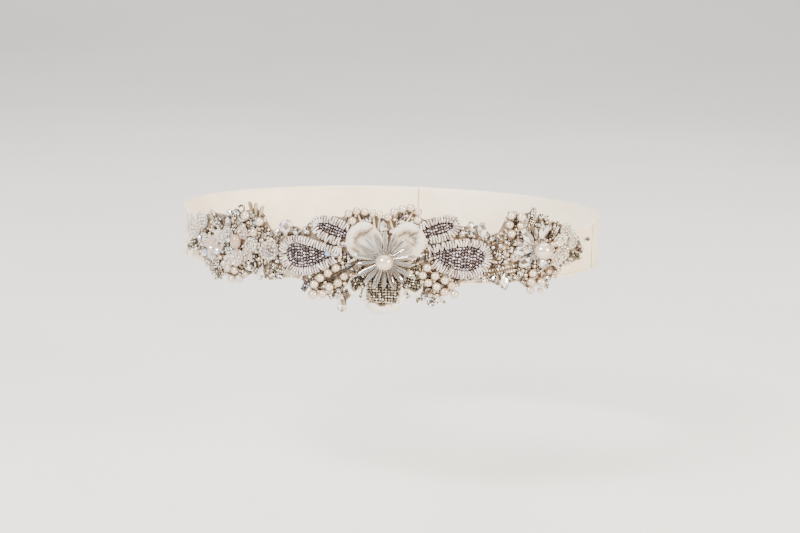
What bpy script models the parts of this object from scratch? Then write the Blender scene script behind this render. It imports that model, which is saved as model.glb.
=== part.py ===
# Bridal sash: a satin ribbon worn round the waist, with a beaded flower motif across the front.
# Every piece is drawn flat first: u runs along the ribbon from the centre front, v runs up it,
# and lift is the height over the ribbon's outer face. All three are in millimetres. The flat
# piece is then laid round the waist line and put into metres. The front faces -Y and +Z is up.
# The origin is in the middle of the waist, at the middle of the ribbon's height.

import math

import bmesh
import bpy
import numpy as np
from mathutils import Matrix, Vector

MM = 0.001

# Waist line under the ribbon's outer face: an ellipse, 697 mm round
HALF_WIDTH = 128.4
HALF_DEPTH = 92.0

# Ribbons
RIBBON_WALL = 1.4
FRONT_WIDTH = 28.0
FRONT_HALF_LENGTH = 147.0
BACK_WIDTH = 29.5
BACK_RAISE = 0.6
SEAM_GAP = 0.3
HEM_WIDTH = 1.45
HEM_DEPTH = 0.2
LAP = 30.0
LAP_RAMP = 16.0
RIBBON_STEP = 6.5

# Heights over the ribbon's outer face
GROUND_LIFT = 0.3
GROUND_WALL = 1.0
SEAT = GROUND_LIFT + GROUND_WALL + SEAM_GAP

# Centre flower
FLOWER_U = 0.0
FLOWER_V = 0.7
PETAL_WALL = 1.0
HUB_RADIUS = 4.2
HUB_HEIGHT = 3.9
DAGGER_COUNT = 18
DAGGER_WIDTH = 3.0
DAGGER_START = 2.4
DAGGER_LENGTH = 15.2
DAGGER_LIFT = 4.9
LOW_DAGGER_SHORTER = 1.2
HIGH_DAGGER_TILT = math.radians(-6)
HUB_TAPER = 0.9
PEARL_WIDTH = 9.8

# Padded leaves
RIM_WIDTH = 4.8
RIM_HEIGHT = 4.0
RIM_STEPS = 22
FILL_GAP = 0.8
FILL_HEIGHT = 1.9
FILL_EDGE = 0.5
FILL_STEPS = 9
# Cross-section of a fill: share of its half width, and share of its height
FILL_OUTLINE = ((-1, 0), (1, 0), (1, 0.6), (0.45, 1), (-0.45, 1), (-1, 0.6))
FILL_END_HEIGHT = 0.55

# Threads and the posts under raised beads
THREAD_WIDTH = 1.3
POST_FROM = 0.7
POST_TAPER = 0.8

# Grounds: place along u, lower edge, upper edge
GROUND_CENTRE = (
    (-60.8, -3, 10), (-57, -8, 18), (-52, -10, 18), (-48, -14, 16), (-44, -18, 21), (-40, -22, 23),
    (-34, -22, 25), (-28, -22, 26), (-22, -27, 27), (-17, -20, 28), (-12, -26, 28), (-6, -29, 26),
    (0, -29.5, 24), (6, -29, 28), (12, -25, 30), (17, -20, 28), (22, -21, 25), (28, -23, 27),
    (34, -20, 27), (39, -17, 23), (44, -12, 20), (50, -11, 21), (56, -11, 20), (60.8, -11, 15),
)
GROUND_LEFT = (
    (-135, -6, -2), (-130, -7, 10), (-125, -8, 13), (-118, -11, 17), (-112, -16, 19), (-106, -19, 19),
    (-100, -17, 19), (-93, -18, 21), (-86, -17, 23), (-80, -13, 25), (-74, -15, 24), (-68, -16, 14),
    (-61.1, -14, 13),
)
GROUND_RIGHT = (
    (61.1, -12, 15), (66, -15, 16), (71, -15, 26), (78, -12, 26), (86, -18, 27), (93, -15, 24),
    (99, -16, 22), (104, -13, 20), (110, -8, 18), (117, -6, 13), (125, -5, 8), (129, -3, 4),
)

# Satin petals: centre, half sizes, the direction that faces away from the flower, lip height
PETAL_COLUMNS = ("name", "u", "v", "half_u", "half_v", "outward", "lip", "sides")
# Rings of a petal: share of its half size, and share of its lip's height
PETAL_RINGS = ((0.45, 0.0), (0.68, 1.0), (0.84, 0.9), (1.0, 0.2))
PETAL_DISH = 0.35
PETAL_ROLL = 1.5
PETALS = (
    ("petal_upper_left", -12.0, 11.3, 10.3, 11.0, 138, 3.0, 18),
    ("petal_upper_right", 12.7, 11.9, 9.9, 11.0, 42, 3.0, 18),
    ("petal_bottom", 0.0, -20.7, 12.5, 10.2, 270, 1.9, 18),
    ("petal_small_left", -16.6, -15.2, 4.1, 6.3, 235, 0.9, 12),
    ("petal_small_right", 17.2, -14.6, 4.9, 5.9, 305, 1.2, 12),
)

# Padded leaves: root, tip and width of the whole leaf, how far its axis bows up, how slowly it
# widens from its root, and the share of its length where its upper and its lower rim begin
LEAF_COLUMNS = (
    "name", "root_u", "root_v", "tip_u", "tip_v", "width", "bow", "slowness", "upper", "lower",
)
LEAVES = (
    ("leaf_lower_right", 20.0, 4.7, 61.4, 1.2, 23.4, -1.0, 1.0, 0.12, 0.205),
    ("leaf_upper_right", 10.0, 13.4, 42.6, 22.8, 15.2, 0.0, 1.0, 0.36, 0.47),
    ("leaf_lower_left", -20.0, 4.0, -61.4, 1.0, 23.2, -1.6, 2.0, 0.12, 0.22),
    ("leaf_upper_left", -8.0, 9.8, -43.0, 21.0, 15.2, 0.0, 1.0, 0.44, 0.50),
)

# Beads of one string: kind, place of the middle, how far it is raised over its seat, width,
# length and the direction of its long axis in degrees. The thread runs through them in order,
# and a bend is a point of a thread that is covered with tiny beads, as thick as its width.
BEAD_COLUMNS = ("kind", "u", "v", "rise", "width", "length", "angle")
STRINGS = {
    "pearls_lower_left_outer": (
        ("pearl", -27.2, -5.2, 0, 5.0, 5.0, 0), ("pearl", -31.7, -8.3, 0, 5.0, 5.0, 0),
        ("pearl", -36.2, -11.3, 0, 5.0, 5.0, 0), ("pearl", -39.7, -15.3, 0, 5.0, 5.0, 0),
        ("pearl", -40.4, -21.4, 0, 5.6, 5.6, 0),
    ),
    "pearls_lower_left_inner": (
        ("pearl", -22.6, -9.4, 0, 5.0, 5.0, 0), ("pearl", -26.0, -13.5, 0, 5.0, 5.0, 0),
        ("pearl", -30.9, -16.2, 0, 5.0, 5.0, 0), ("pearl", -34.8, -20.6, 0, 5.0, 5.0, 0),
    ),
    "pearls_lower_right_outer": (
        ("pearl", 23.8, -3.2, 0, 5.0, 5.0, 0), ("pearl", 28.5, -8.0, 0, 5.0, 5.0, 0),
        ("pearl", 33.9, -10.6, 0, 5.0, 5.0, 0), ("pearl", 38.0, -13.6, 0, 5.0, 5.0, 0),
        ("pearl", 39.7, -18.7, 0, 5.0, 5.0, 0),
    ),
    "pearls_lower_right_inner": (
        ("pearl", 21.4, -7.6, 0, 4.8, 4.8, 0), ("pearl", 24.6, -12.0, 0, 4.8, 4.8, 0),
        ("pearl", 29.4, -14.2, 0, 5.0, 5.0, 0), ("pearl", 34.0, -17.4, 0, 5.0, 5.0, 0),
    ),
    "pearls_top_left": (
        ("pearl", -18.6, 22.9, 0, 4.6, 4.6, 0), ("pearl", -20.8, 27.0, 0, 4.6, 4.6, 0),
        ("pearl", -16.3, 28.5, 0, 4.6, 4.6, 0), ("pearl", -11.7, 28.4, 0, 4.6, 4.6, 0),
    ),
    "pearls_top_middle": (
        ("pearl", -7.2, 27.6, 0, 3.6, 5.0, 80), ("pearl", -3.3, 26.8, 0, 3.6, 5.0, 95),
        ("pearl", 1.3, 25.6, 0, 4.6, 4.6, 0), ("pearl", 4.6, 29.0, 0, 4.6, 4.6, 0),
    ),
    "pearls_top_right": (
        ("pearl", 9.2, 30.6, 0, 4.6, 4.6, 0), ("pearl", 13.8, 31.4, 0, 4.6, 4.6, 0),
        ("pearl", 18.0, 29.2, 0, 4.6, 4.6, 0), ("pearl", 17.8, 24.6, 0, 4.6, 4.6, 0),
    ),
    "seed_stem_top": (
        ("pearl", 9.4, 25.6, 0, 2.6, 6.6, 48),
    ),
    "kite_stone": (
        ("drop", -1.3, 20.4, 0.2, 4.4, 6.6, 270),
    ),
    "crystals_low_left": (
        ("gem", -29.8, -21.8, 0, 3.8, 3.8, 0), ("drop", -23.4, -25.0, 0.2, 6.0, 10.5, 270),
        ("gem", -25.8, -18.6, 0, 3.2, 3.2, 0), ("gem", -22.7, -16.9, 0, 3.2, 3.2, 0),
    ),
    "leaf_tip_low_left": (
        ("leaf", -45.2, -16.9, 0, 4.4, 8.6, 250),
    ),
    "crystals_low_right": (
        ("drop", 20.0, -22.6, 0.2, 4.4, 4.8, 90), ("drop", 25.2, -17.8, 0.2, 4.6, 5.6, 120),
        ("drop", 31.6, -22.4, 0.2, 3.8, 7.4, 160), ("gem", 26.6, -24.0, 0, 4.8, 4.8, 0),
    ),
    "stones_inner_left": (
        ("gem", -62.8, 13.2, 0, 4.6, 4.6, 0), ("drop", -56.4, 17.4, 0.2, 7.6, 8.4, 84),
        ("gem", -51.4, 14.3, 0, 4.0, 4.0, 0), ("gem", -46.4, 15.5, 0, 4.4, 4.4, 0),
    ),
    "sequin_flower": (
        ("disc", -68.0, 1.6, 0.2, 11.6, 11.6, 0),
    ),
    "stones_low_left": (
        ("gem", -60.6, -12.2, 0, 4.8, 4.8, 0), ("gem", -66.0, -11.6, 0, 4.8, 4.8, 0),
        ("drop", -72.0, -11.6, 0.2, 5.4, 8.6, 260), ("gem", -79.6, -7.6, 0, 8.0, 8.0, 0),
    ),
    "discs_left": (
        ("disc", -126.6, 7.6, 1.4, 13.0, 13.0, 0), ("disc", -116.6, 14.4, 2.2, 10.5, 10.5, 0),
        ("disc", -116.4, 2.2, 0.8, 8.4, 8.4, 0),
    ),
    "leaf_upper_left_side": (
        ("leaf", -105.8, 15.2, 0, 6.0, 16.0, 314),
    ),
    "stones_upper_left_side": (
        ("gem", -95.8, 20.6, 0, 4.6, 4.6, 0), ("gem", -90.6, 21.8, 0, 4.6, 4.6, 0),
        ("gem", -88.0, 16.9, 0, 4.2, 4.2, 0),
    ),
    "pearls_upper_left_side": (
        ("pearl", -83.4, 20.8, 0, 5.4, 5.4, 0), ("gem", -79.2, 16.6, 0, 4.0, 4.0, 0),
        ("pearl", -73.9, 18.2, 0, 5.2, 5.2, 0), ("pearl", -77.6, 11.6, 0, 5.2, 5.2, 0),
    ),
    "daggers_left_side": (
        ("dagger", -80.4, 25.8, 0.2, 2.4, 7.4, 108), ("dagger", -77.0, 25.2, 0.2, 2.4, 7.6, 92),
        ("dagger", -73.4, 24.4, 0.2, 2.4, 7.2, 72),
    ),
    "blush_bead": (
        ("pearl", -88.8, 5.0, 1.4, 6.2, 8.4, 90),
    ),
    "petals_left_side": (
        ("disc", -79.6, 4.0, 0.6, 8.4, 8.4, 0), ("disc", -86.4, -4.4, 0.4, 8.4, 8.4, 0),
        ("gem", -96.6, -1.6, 0, 5.0, 5.0, 0), ("gem", -97.0, 5.8, 0, 5.4, 5.4, 0),
    ),
    "beads_left_side": (
        ("pearl", -115.2, -5.4, 0, 4.6, 4.6, 0), ("pearl", -109.6, -2.2, 0, 4.6, 4.6, 0),
        ("pearl", -104.2, -2.8, 0, 4.6, 4.6, 0),
    ),
    "leaf_lower_left_side": (
        ("leaf", -105.6, -13.6, 0, 9.6, 15.0, 280),
    ),
    "pearls_lower_left_side": (
        ("pearl", -95.4, -11.6, 0, 5.0, 5.0, 0), ("pearl", -90.4, -12.4, 0, 5.0, 5.0, 0),
        ("pearl", -87.4, -17.0, 0, 5.0, 5.0, 0), ("pearl", -92.8, -17.8, 0, 4.8, 4.8, 0),
    ),
    "leaf_tip_left_side": (
        ("leaf", -130.0, -3.4, 0, 4.4, 13.0, 205),
    ),
    "crystals_right": (
        ("gem", 44.6, 16.9, 0, 4.2, 4.2, 0), ("drop", 49.0, 20.0, 0.2, 4.4, 8.0, 125),
        ("drop", 54.4, 18.2, 0.2, 6.0, 10.0, 95), ("gem", 60.6, 13.8, 0, 4.6, 4.6, 0),
    ),
    "seed_leaf_right": (
        ("leaf", 64.0, 4.8, 0, 3.6, 8.0, 75), ("pearl", 68.4, 7.4, 0, 3.0, 3.0, 0),
        ("pearl", 70.6, 3.2, 0, 3.0, 3.0, 0),
    ),
    "stones_low_right": (
        ("gem", 57.8, -10.8, 0, 4.8, 4.8, 0), ("gem", 63.6, -10.9, 0, 4.8, 4.8, 0),
        ("drop", 69.0, -12.4, 0.2, 5.2, 10.0, 270), ("gem", 74.9, -10.6, 0, 4.8, 4.8, 0),
        ("gem", 79.6, -8.6, 0, 4.4, 4.4, 0),
    ),
    "pearls_upper_right_side": (
        ("pearl", 78.4, 25.0, 0, 5.6, 5.6, 0), ("pearl", 72.0, 26.0, 0, 4.8, 4.8, 0),
        ("pearl", 71.2, 20.8, 0, 4.8, 4.8, 0), ("pearl", 72.6, 15.6, 0, 4.8, 4.8, 0),
    ),
    "leaf_upper_right_side": (
        ("leaf", 86.2, 24.6, 0, 6.0, 11.6, 80),
    ),
    "leaf_fan_right_side": (
        ("leaf", 101.8, 15.4, 0, 4.8, 12.6, 60), ("gem", 96.6, 23.0, 0, 3.4, 3.4, 0),
        ("gem", 92.6, 24.2, 0, 3.6, 3.6, 0),
    ),
    "discs_right": (
        ("disc", 110.6, 14.6, 0.8, 9.6, 9.6, 0), ("disc", 116.6, 7.4, 0.4, 8.4, 8.4, 0),
        ("disc", 108.6, 1.4, 0.6, 9.8, 9.8, 0),
    ),
    "leaf_tip_right_side": (
        ("leaf", 121.6, -1.6, 0, 4.2, 10.6, 330),
    ),
    "seed_loop_right": (
        ("bend", 101.4, -4.4, 0, 2.2, 0, 0), ("bend", 105.4, -6.2, 0, 2.2, 0, 0),
        ("bend", 106.8, -9.8, 0, 2.2, 0, 0), ("bend", 104.8, -13.0, 0, 2.2, 0, 0),
        ("gem", 99.6, -13.2, 0, 3.6, 3.6, 0), ("gem", 98.6, -17.4, 0, 3.6, 3.6, 0),
    ),
    "pearls_lower_right_side": (
        ("pearl", 87.2, -8.6, 0, 4.8, 4.8, 0), ("pearl", 86.4, -13.7, 0, 5.0, 5.0, 0),
        ("pearl", 86.0, -18.6, 0, 4.6, 4.6, 0), ("pearl", 93.0, -14.4, 0, 5.4, 5.4, 0),
    ),
}

# Right cluster: its pearl sits on a hub, and flattened briolettes stand out from the hub
RIGHT_U = 90.0
RIGHT_V = 5.3
RIGHT_HUB_HEIGHT = 2.9
RIGHT_HUB_RADIUS = 5.0
RIGHT_PEARL_WIDTH = 10.6
BRIOLETTE_LIFT = 1.6
BRIOLETTE_FLATNESS = 0.6
BRIOLETTE_START = 3.6
# Direction from the pearl, reach from it, width
BRIOLETTES = (
    (180, 15.8, 5.6), (133, 17.0, 6.0), (157, 16.6, 4.4), (78, 14.8, 5.4), (218, 15.0, 5.8),
    (290, 11.8, 4.6),
)

# Turned outlines of a bead: place along the bead and radius, both as shares of its length and width
DROP_OUTLINE = ((-0.5, 0), (-0.34, 0.24), (-0.08, 0.42), (0.16, 0.5), (0.38, 0.36), (0.5, 0))
DAGGER_OUTLINE = ((-0.5, 0), (-0.42, 0.2), (0.18, 0.5), (0.42, 0.3), (0.5, 0))
DISC_OUTLINE = ((-0.5, 0), (-0.28, 0.42), (0.28, 0.42), (0.5, 0))
DISC_HEIGHT = 1.8
# Rings of a cut stone: height and radius, both as shares of its width
STONE_RINGS = ((0.0, 0.36), (0.34, 0.5), (0.6, 0.3))
STONE_MIDDLE = 0.26
# Pointed leaf pads: height, share of it under the pad's middle, share of the width lost at a tip
LEAF_PAD_HEIGHT = 3.6
LEAF_PAD_UNDER = 0.12
LEAF_PAD_TAPER = 0.45

SOFT_EDGE_ANGLE = math.radians(40)


def waist_table():
    """Angle round the ellipse against the arc length from the centre front."""
    angle = np.linspace(-1.3 * math.pi, 1.3 * math.pi, 5201)
    step = np.hypot(
        np.diff(HALF_WIDTH * np.sin(angle)), np.diff(HALF_DEPTH * np.cos(angle))
    )
    length = np.concatenate(([0.0], np.cumsum(step)))
    return angle, length - np.interp(0.0, angle, length)


WAIST_ANGLE, WAIST_ARC = waist_table()
WAIST_ROUND = 2 * np.interp(math.pi, WAIST_ANGLE, WAIST_ARC)


def on_waist(flat):
    """Flat points (u, v, lift) in millimetres, laid round the waist, in metres."""
    angle = np.interp(flat[:, 0], WAIST_ARC, WAIST_ANGLE)
    out_x = np.sin(angle) / HALF_WIDTH
    out_y = -np.cos(angle) / HALF_DEPTH
    size = np.hypot(out_x, out_y)
    x = HALF_WIDTH * np.sin(angle) + flat[:, 2] * out_x / size
    y = -HALF_DEPTH * np.cos(angle) + flat[:, 2] * out_y / size
    return np.column_stack((x, y, flat[:, 1])) * MM


def clear_scene():
    for old in list(bpy.data.objects):
        bpy.data.objects.remove(old, do_unlink=True)


def make_collection(name):
    collection = bpy.data.collections.new(name)
    bpy.context.scene.collection.children.link(collection)
    return collection


def make_material(name, colour, roughness, metallic=0.0, clear=0.0):
    material = bpy.data.materials.new(name)
    material.use_nodes = True
    shader = material.node_tree.nodes["Principled BSDF"]
    shader.inputs["Base Color"].default_value = (*colour, 1.0)
    shader.inputs["Roughness"].default_value = roughness
    shader.inputs["Metallic"].default_value = metallic
    shader.inputs["Transmission Weight"].default_value = clear
    return material


def evaluated_mesh(obj):
    """The object's mesh with its modifiers applied, and the object itself removed."""
    graph = bpy.context.evaluated_depsgraph_get()
    mesh = bpy.data.meshes.new_from_object(obj.evaluated_get(graph))
    bpy.data.objects.remove(obj, do_unlink=True)
    return mesh


def object_from_mesh(name, mesh):
    obj = bpy.data.objects.new(name, mesh)
    bpy.context.scene.collection.objects.link(obj)
    return obj


def object_from_bmesh(name, bm):
    mesh = bpy.data.meshes.new(name)
    bm.to_mesh(mesh)
    bm.free()
    return object_from_mesh(name, mesh)


def lay_on_waist(obj, name, material, collection):
    """Finish a flat piece: apply it, lay its points round the waist and give it its material."""
    mesh = evaluated_mesh(obj)
    mesh.name = name
    flat = np.empty(len(mesh.vertices) * 3)
    mesh.vertices.foreach_get("co", flat)
    mesh.vertices.foreach_set("co", on_waist(flat.reshape(-1, 3)).ravel())
    mesh.materials.clear()
    mesh.materials.append(material)
    mesh.shade_smooth()
    mesh.set_sharp_from_angle(angle=SOFT_EDGE_ANGLE)
    mesh.update()
    piece = bpy.data.objects.new(name, mesh)
    collection.objects.link(piece)
    return piece


def loft(name, sections):
    """A closed skin over rings of points that all have the same count, with flat ends."""
    bm = bmesh.new()
    rings = [[bm.verts.new(point) for point in section] for section in sections]
    for ring, following in zip(rings, rings[1:]):
        for k in range(len(ring)):
            after = (k + 1) % len(ring)
            bm.faces.new((ring[k], ring[after], following[after], following[k]))
    bm.faces.new(rings[0])
    bm.faces.new(rings[-1])
    bmesh.ops.recalc_face_normals(bm, faces=bm.faces)
    return object_from_bmesh(name, bm)


def tube(name, points, radius, resolution=1):
    """A round tube along the points, with its caps welded."""
    curve = bpy.data.curves.new(name, "CURVE")
    curve.dimensions = "3D"
    curve.bevel_depth = radius
    curve.bevel_resolution = resolution
    curve.use_fill_caps = True
    spline = curve.splines.new("POLY")
    spline.points.add(len(points) - 1)
    for target, point in zip(spline.points, points):
        target.co = (*point, 1.0)
    holder = bpy.data.objects.new(name, curve)
    bpy.context.scene.collection.objects.link(holder)
    mesh = evaluated_mesh(holder)
    bm = bmesh.new()
    bm.from_mesh(mesh)
    bmesh.ops.remove_doubles(bm, verts=bm.verts, dist=0.001)
    bmesh.ops.recalc_face_normals(bm, faces=bm.faces)
    return object_from_bmesh(name, bm)


def turned(outline, sides, width, length):
    """An outline of (along, radius) turned round its own axis, which lies along +X."""
    bm = bmesh.new()
    verts = [bm.verts.new((along * length, 0, radius * width)) for along, radius in outline]
    edges = [bm.edges.new(pair) for pair in zip(verts, verts[1:])]
    bmesh.ops.spin(
        bm, geom=verts + edges, cent=(0, 0, 0), axis=(1, 0, 0), dvec=(0, 0, 0),
        angle=2 * math.pi, steps=sides, use_duplicate=False,
    )
    bmesh.ops.remove_doubles(bm, verts=bm.verts, dist=0.001)
    bmesh.ops.recalc_face_normals(bm, faces=bm.faces)
    return bm


def pearl_bead(width, length):
    """A round bead, or a long one."""
    bm = bmesh.new()
    bmesh.ops.create_uvsphere(bm, u_segments=8, v_segments=5, radius=0.5)
    bmesh.ops.scale(bm, vec=(length, width, width), verts=bm.verts)
    return bm, width / 2


def drop_bead(width, length):
    """A faceted drop, round at the end that its angle points to."""
    return turned(DROP_OUTLINE, 7, width, length), width / 2


def dagger_bead(width, length):
    """A long bead that tapers to both ends."""
    return turned(DAGGER_OUTLINE, 6, width, length), width / 2


def disc_bead(width, length):
    """A thin round disc that lies flat."""
    bm = turned(DISC_OUTLINE, 12, length, DISC_HEIGHT)
    bmesh.ops.rotate(bm, cent=(0, 0, 0), matrix=Matrix.Rotation(math.pi / 2, 3, "Y"), verts=bm.verts)
    return bm, DISC_HEIGHT / 2


def stone_bead(width, length):
    """A round stone cut with a flat table, eight sides."""
    bm = bmesh.new()
    rings = []
    for height, radius in STONE_RINGS:
        ring = bmesh.ops.create_circle(bm, segments=8, radius=radius * width)["verts"]
        bmesh.ops.translate(bm, vec=(0, 0, height * width), verts=ring)
        rings.append(ring)
    for low, high in zip(rings, rings[1:]):
        for k in range(len(low)):
            after = (k + 1) % len(low)
            bm.faces.new((low[k], low[after], high[after], high[k]))
    bm.faces.new(rings[0])
    bm.faces.new(rings[-1])
    bmesh.ops.recalc_face_normals(bm, faces=bm.faces)
    return bm, 0.0


def leaf_bead(width, length):
    """A pointed leaf pad: flat below and rounded above."""
    bm = bmesh.new()
    bmesh.ops.create_uvsphere(bm, u_segments=10, v_segments=6, radius=0.5)
    bmesh.ops.rotate(bm, cent=(0, 0, 0), matrix=Matrix.Rotation(math.pi / 2, 3, "Y"), verts=bm.verts)
    for vert in bm.verts:
        vert.co.y *= 1.0 - LEAF_PAD_TAPER * abs(vert.co.x * 2)
        vert.co.z = max(vert.co.z, -LEAF_PAD_UNDER)
    bmesh.ops.scale(bm, vec=(length, width, LEAF_PAD_HEIGHT), verts=bm.verts)
    return bm, LEAF_PAD_UNDER * LEAF_PAD_HEIGHT


BEAD_MAKERS = {
    "pearl": pearl_bead, "drop": drop_bead, "dagger": dagger_bead, "disc": disc_bead,
    "gem": stone_bead, "leaf": leaf_bead,
}


def place_bead(row):
    """A bead at its place over the ground, and the point in it that the thread goes through."""
    bead = dict(zip(BEAD_COLUMNS, row))
    bm, half = BEAD_MAKERS[bead["kind"]](bead["width"], bead["length"])
    turn = Matrix.Rotation(math.radians(bead["angle"]), 3, "Z")
    bmesh.ops.rotate(bm, cent=(0, 0, 0), matrix=turn, verts=bm.verts)
    lift = SEAT + bead["rise"] + half
    bmesh.ops.translate(bm, vec=(bead["u"], bead["v"], lift), verts=bm.verts)
    middle = lift + (STONE_MIDDLE * bead["width"] if bead["kind"] == "gem" else 0.0)
    return object_from_bmesh(bead["kind"], bm), (bead["u"], bead["v"], middle)


def fuse(base, others):
    """One body from pieces that run into each other."""
    for other in others:
        join = base.modifiers.new("join", "BOOLEAN")
        join.operation = "UNION"
        join.solver = "EXACT"
        join.object = other
        base = object_from_mesh("fused", evaluated_mesh(base))
        bpy.data.objects.remove(other, do_unlink=True)
    return base


def shank(u, v, top):
    """The short post that seats a raised bead on its ground."""
    bm = bmesh.new()
    height = top - SEAT
    bmesh.ops.create_cone(
        bm, cap_ends=True, segments=6, radius1=THREAD_WIDTH, radius2=THREAD_WIDTH * POST_TAPER,
        depth=height,
    )
    bmesh.ops.translate(bm, vec=(u, v, SEAT + height / 2), verts=bm.verts)
    return object_from_bmesh("shank", bm)


def bead_string(rows):
    """Beads strung on one thread in the order of their rows. A raised bead gets its own post."""
    thread_points = []
    parts = []
    thickness = THREAD_WIDTH
    for row in rows:
        bead = dict(zip(BEAD_COLUMNS, row))
        if bead["kind"] == "bend":
            thickness = bead["width"]
            thread_points.append((bead["u"], bead["v"], SEAT + thickness / 2))
            continue
        body, middle = place_bead(row)
        thread_points.append(middle)
        parts.append(body)
        if bead["rise"] > POST_FROM:
            parts.append(shank(*middle))
    if len(rows) == 1:
        return fuse(parts[0], parts[1:])
    return fuse(tube("thread", thread_points, thickness / 2), parts)


def ribbon(name, stations, width, raise_by, lift_at):
    """A strip with a hem along both edges: the wall's inner face is smooth, its outer face dips
    between the hems."""
    half = width / 2
    inner = half - HEM_WIDTH
    sections = []
    for u in stations:
        lift = lift_at(u)
        bottom = lift - RIBBON_WALL
        middle = lift - HEM_DEPTH
        sections.append([
            (u, raise_by - half, bottom), (u, raise_by + half, bottom), (u, raise_by + half, lift),
            (u, raise_by + inner, middle), (u, raise_by - inner, middle), (u, raise_by - half, lift),
        ])
    return loft(name, sections)


def spaced(start, end, step):
    return np.linspace(start, end, int(abs(end - start) / step) + 2)


def lap_lift(u):
    """The right back ribbon climbs over the left one before the centre back."""
    full = WAIST_ROUND / 2 - LAP / 2 - 1.0
    share = min(max((u - full + LAP_RAMP) / LAP_RAMP, 0.0), 1.0)
    return (RIBBON_WALL + SEAM_GAP) * share * share * (3 - 2 * share)


def ground(name, stations):
    """A thin shape cut from cloth, as sections from its lower to its upper edge."""
    top = GROUND_LIFT + GROUND_WALL
    sections = []
    for u, low, high in stations:
        sections.append([
            (u, low, GROUND_LIFT), (u, high, GROUND_LIFT), (u, high, top), (u, low, top),
        ])
    return loft(name, sections)


def petal(sizes):
    """A cupped satin petal: its floor lies on the ground, its lip rolls up and over on the side
    that faces away from the flower."""
    floor = SEAT + PETAL_WALL
    outward = math.radians(sizes["outward"])
    bm = bmesh.new()
    rings = []
    for share, rise in PETAL_RINGS:
        ring = []
        for around in np.linspace(0.0, 2 * math.pi, sizes["sides"], endpoint=False):
            facing = 0.5 + 0.5 * math.cos(around - outward)
            height = floor + PETAL_DISH + sizes["lip"] * rise * facing ** PETAL_ROLL
            u = sizes["u"] + sizes["half_u"] * share * math.cos(around)
            v = sizes["v"] + sizes["half_v"] * share * math.sin(around)
            ring.append(bm.verts.new((u, v, height)))
        rings.append(ring)
    middle = bm.verts.new((sizes["u"], sizes["v"], floor))
    for k in range(sizes["sides"]):
        after = (k + 1) % sizes["sides"]
        bm.faces.new((middle, rings[0][k], rings[0][after]))
        for low, high in zip(rings, rings[1:]):
            bm.faces.new((low[k], high[k], high[after], low[after]))
    bmesh.ops.recalc_face_normals(bm, faces=bm.faces)
    sheet = object_from_bmesh("petal", bm)
    if sheet.data.polygons[0].normal.z < 0:
        sheet.data.flip_normals()
    wall = sheet.modifiers.new("wall", "SOLIDIFY")
    wall.thickness = PETAL_WALL
    wall.offset = -1.0
    sheet.modifiers.new("triangles", "TRIANGULATE")
    return sheet


def burst():
    """Glass daggers round a hub, every second one lying a little lower."""
    bm = bmesh.new()
    bmesh.ops.create_cone(
        bm, cap_ends=True, segments=12, radius1=HUB_RADIUS, radius2=HUB_RADIUS * HUB_TAPER,
        depth=HUB_HEIGHT,
    )
    bmesh.ops.translate(bm, vec=(FLOWER_U, FLOWER_V, SEAT + HUB_HEIGHT / 2), verts=bm.verts)
    hub = object_from_bmesh("hub", bm)
    daggers = []
    for k in range(DAGGER_COUNT):
        low = k % 2
        length = DAGGER_LENGTH - LOW_DAGGER_SHORTER * low
        dagger = turned(DAGGER_OUTLINE, 6, DAGGER_WIDTH, length)
        bmesh.ops.translate(dagger, vec=(DAGGER_START + length / 2, 0, 0), verts=dagger.verts)
        tilt = Matrix.Rotation(0.0 if low else HIGH_DAGGER_TILT, 3, "Y")
        turn = Matrix.Rotation(2 * math.pi * (k + 0.5) / DAGGER_COUNT, 3, "Z")
        bmesh.ops.rotate(dagger, cent=(0, 0, 0), matrix=turn @ tilt, verts=dagger.verts)
        bmesh.ops.translate(dagger, vec=(FLOWER_U, FLOWER_V, DAGGER_LIFT), verts=dagger.verts)
        daggers.append(object_from_bmesh("dagger", dagger))
    return fuse(hub, daggers)


def leaf_half_width(share, slowness):
    """Half-width of a leaf as a share of its widest: a teardrop, narrow at the root."""
    turn = np.arccos(1 - 2 * np.clip(share, 0.0, 1.0))
    whole = np.linspace(0.0, math.pi, 120)
    widest = np.max(np.sin(whole) * np.sin(whole / 2) ** slowness)
    return np.sin(turn) * np.sin(turn / 2) ** slowness / widest


def leaf_place(leaf, share, side):
    """The flat place at a share of the leaf's rim length, a distance to the side of its axis."""
    root = Vector((leaf["root_u"], leaf["root_v"]))
    along = Vector((leaf["tip_u"], leaf["tip_v"])) - root
    reach = along.length - RIM_WIDTH / 2
    along.normalize()
    across = Vector((-along.y, along.x))
    if across.y < 0:
        across.negate()
    bow = leaf["bow"] * math.sin(math.pi * min(share, 1.0))
    place = root + along * (share * reach) + across * (side + bow)
    return place.x, place.y


def leaf_rim(leaf):
    """The padded cord that runs out along one side of the leaf, round its tip and back."""
    half = (leaf["width"] - RIM_WIDTH) / 2
    first = math.acos(1 - 2 * leaf["upper"])
    last = 2 * math.pi - math.acos(1 - 2 * leaf["lower"])
    points = []
    for turn in np.linspace(first, last, RIM_STEPS):
        share = (1 - math.cos(turn)) / 2
        side = half * leaf_half_width(share, leaf["slowness"]) * (1 if turn < math.pi else -1)
        points.append((*leaf_place(leaf, share, side), 0.0))
    rim = tube("rim", points, RIM_WIDTH / 2, resolution=2)
    for vert in rim.data.vertices:
        vert.co.z = SEAT + RIM_HEIGHT / 2 + vert.co.z * RIM_HEIGHT / RIM_WIDTH
    return rim


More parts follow.
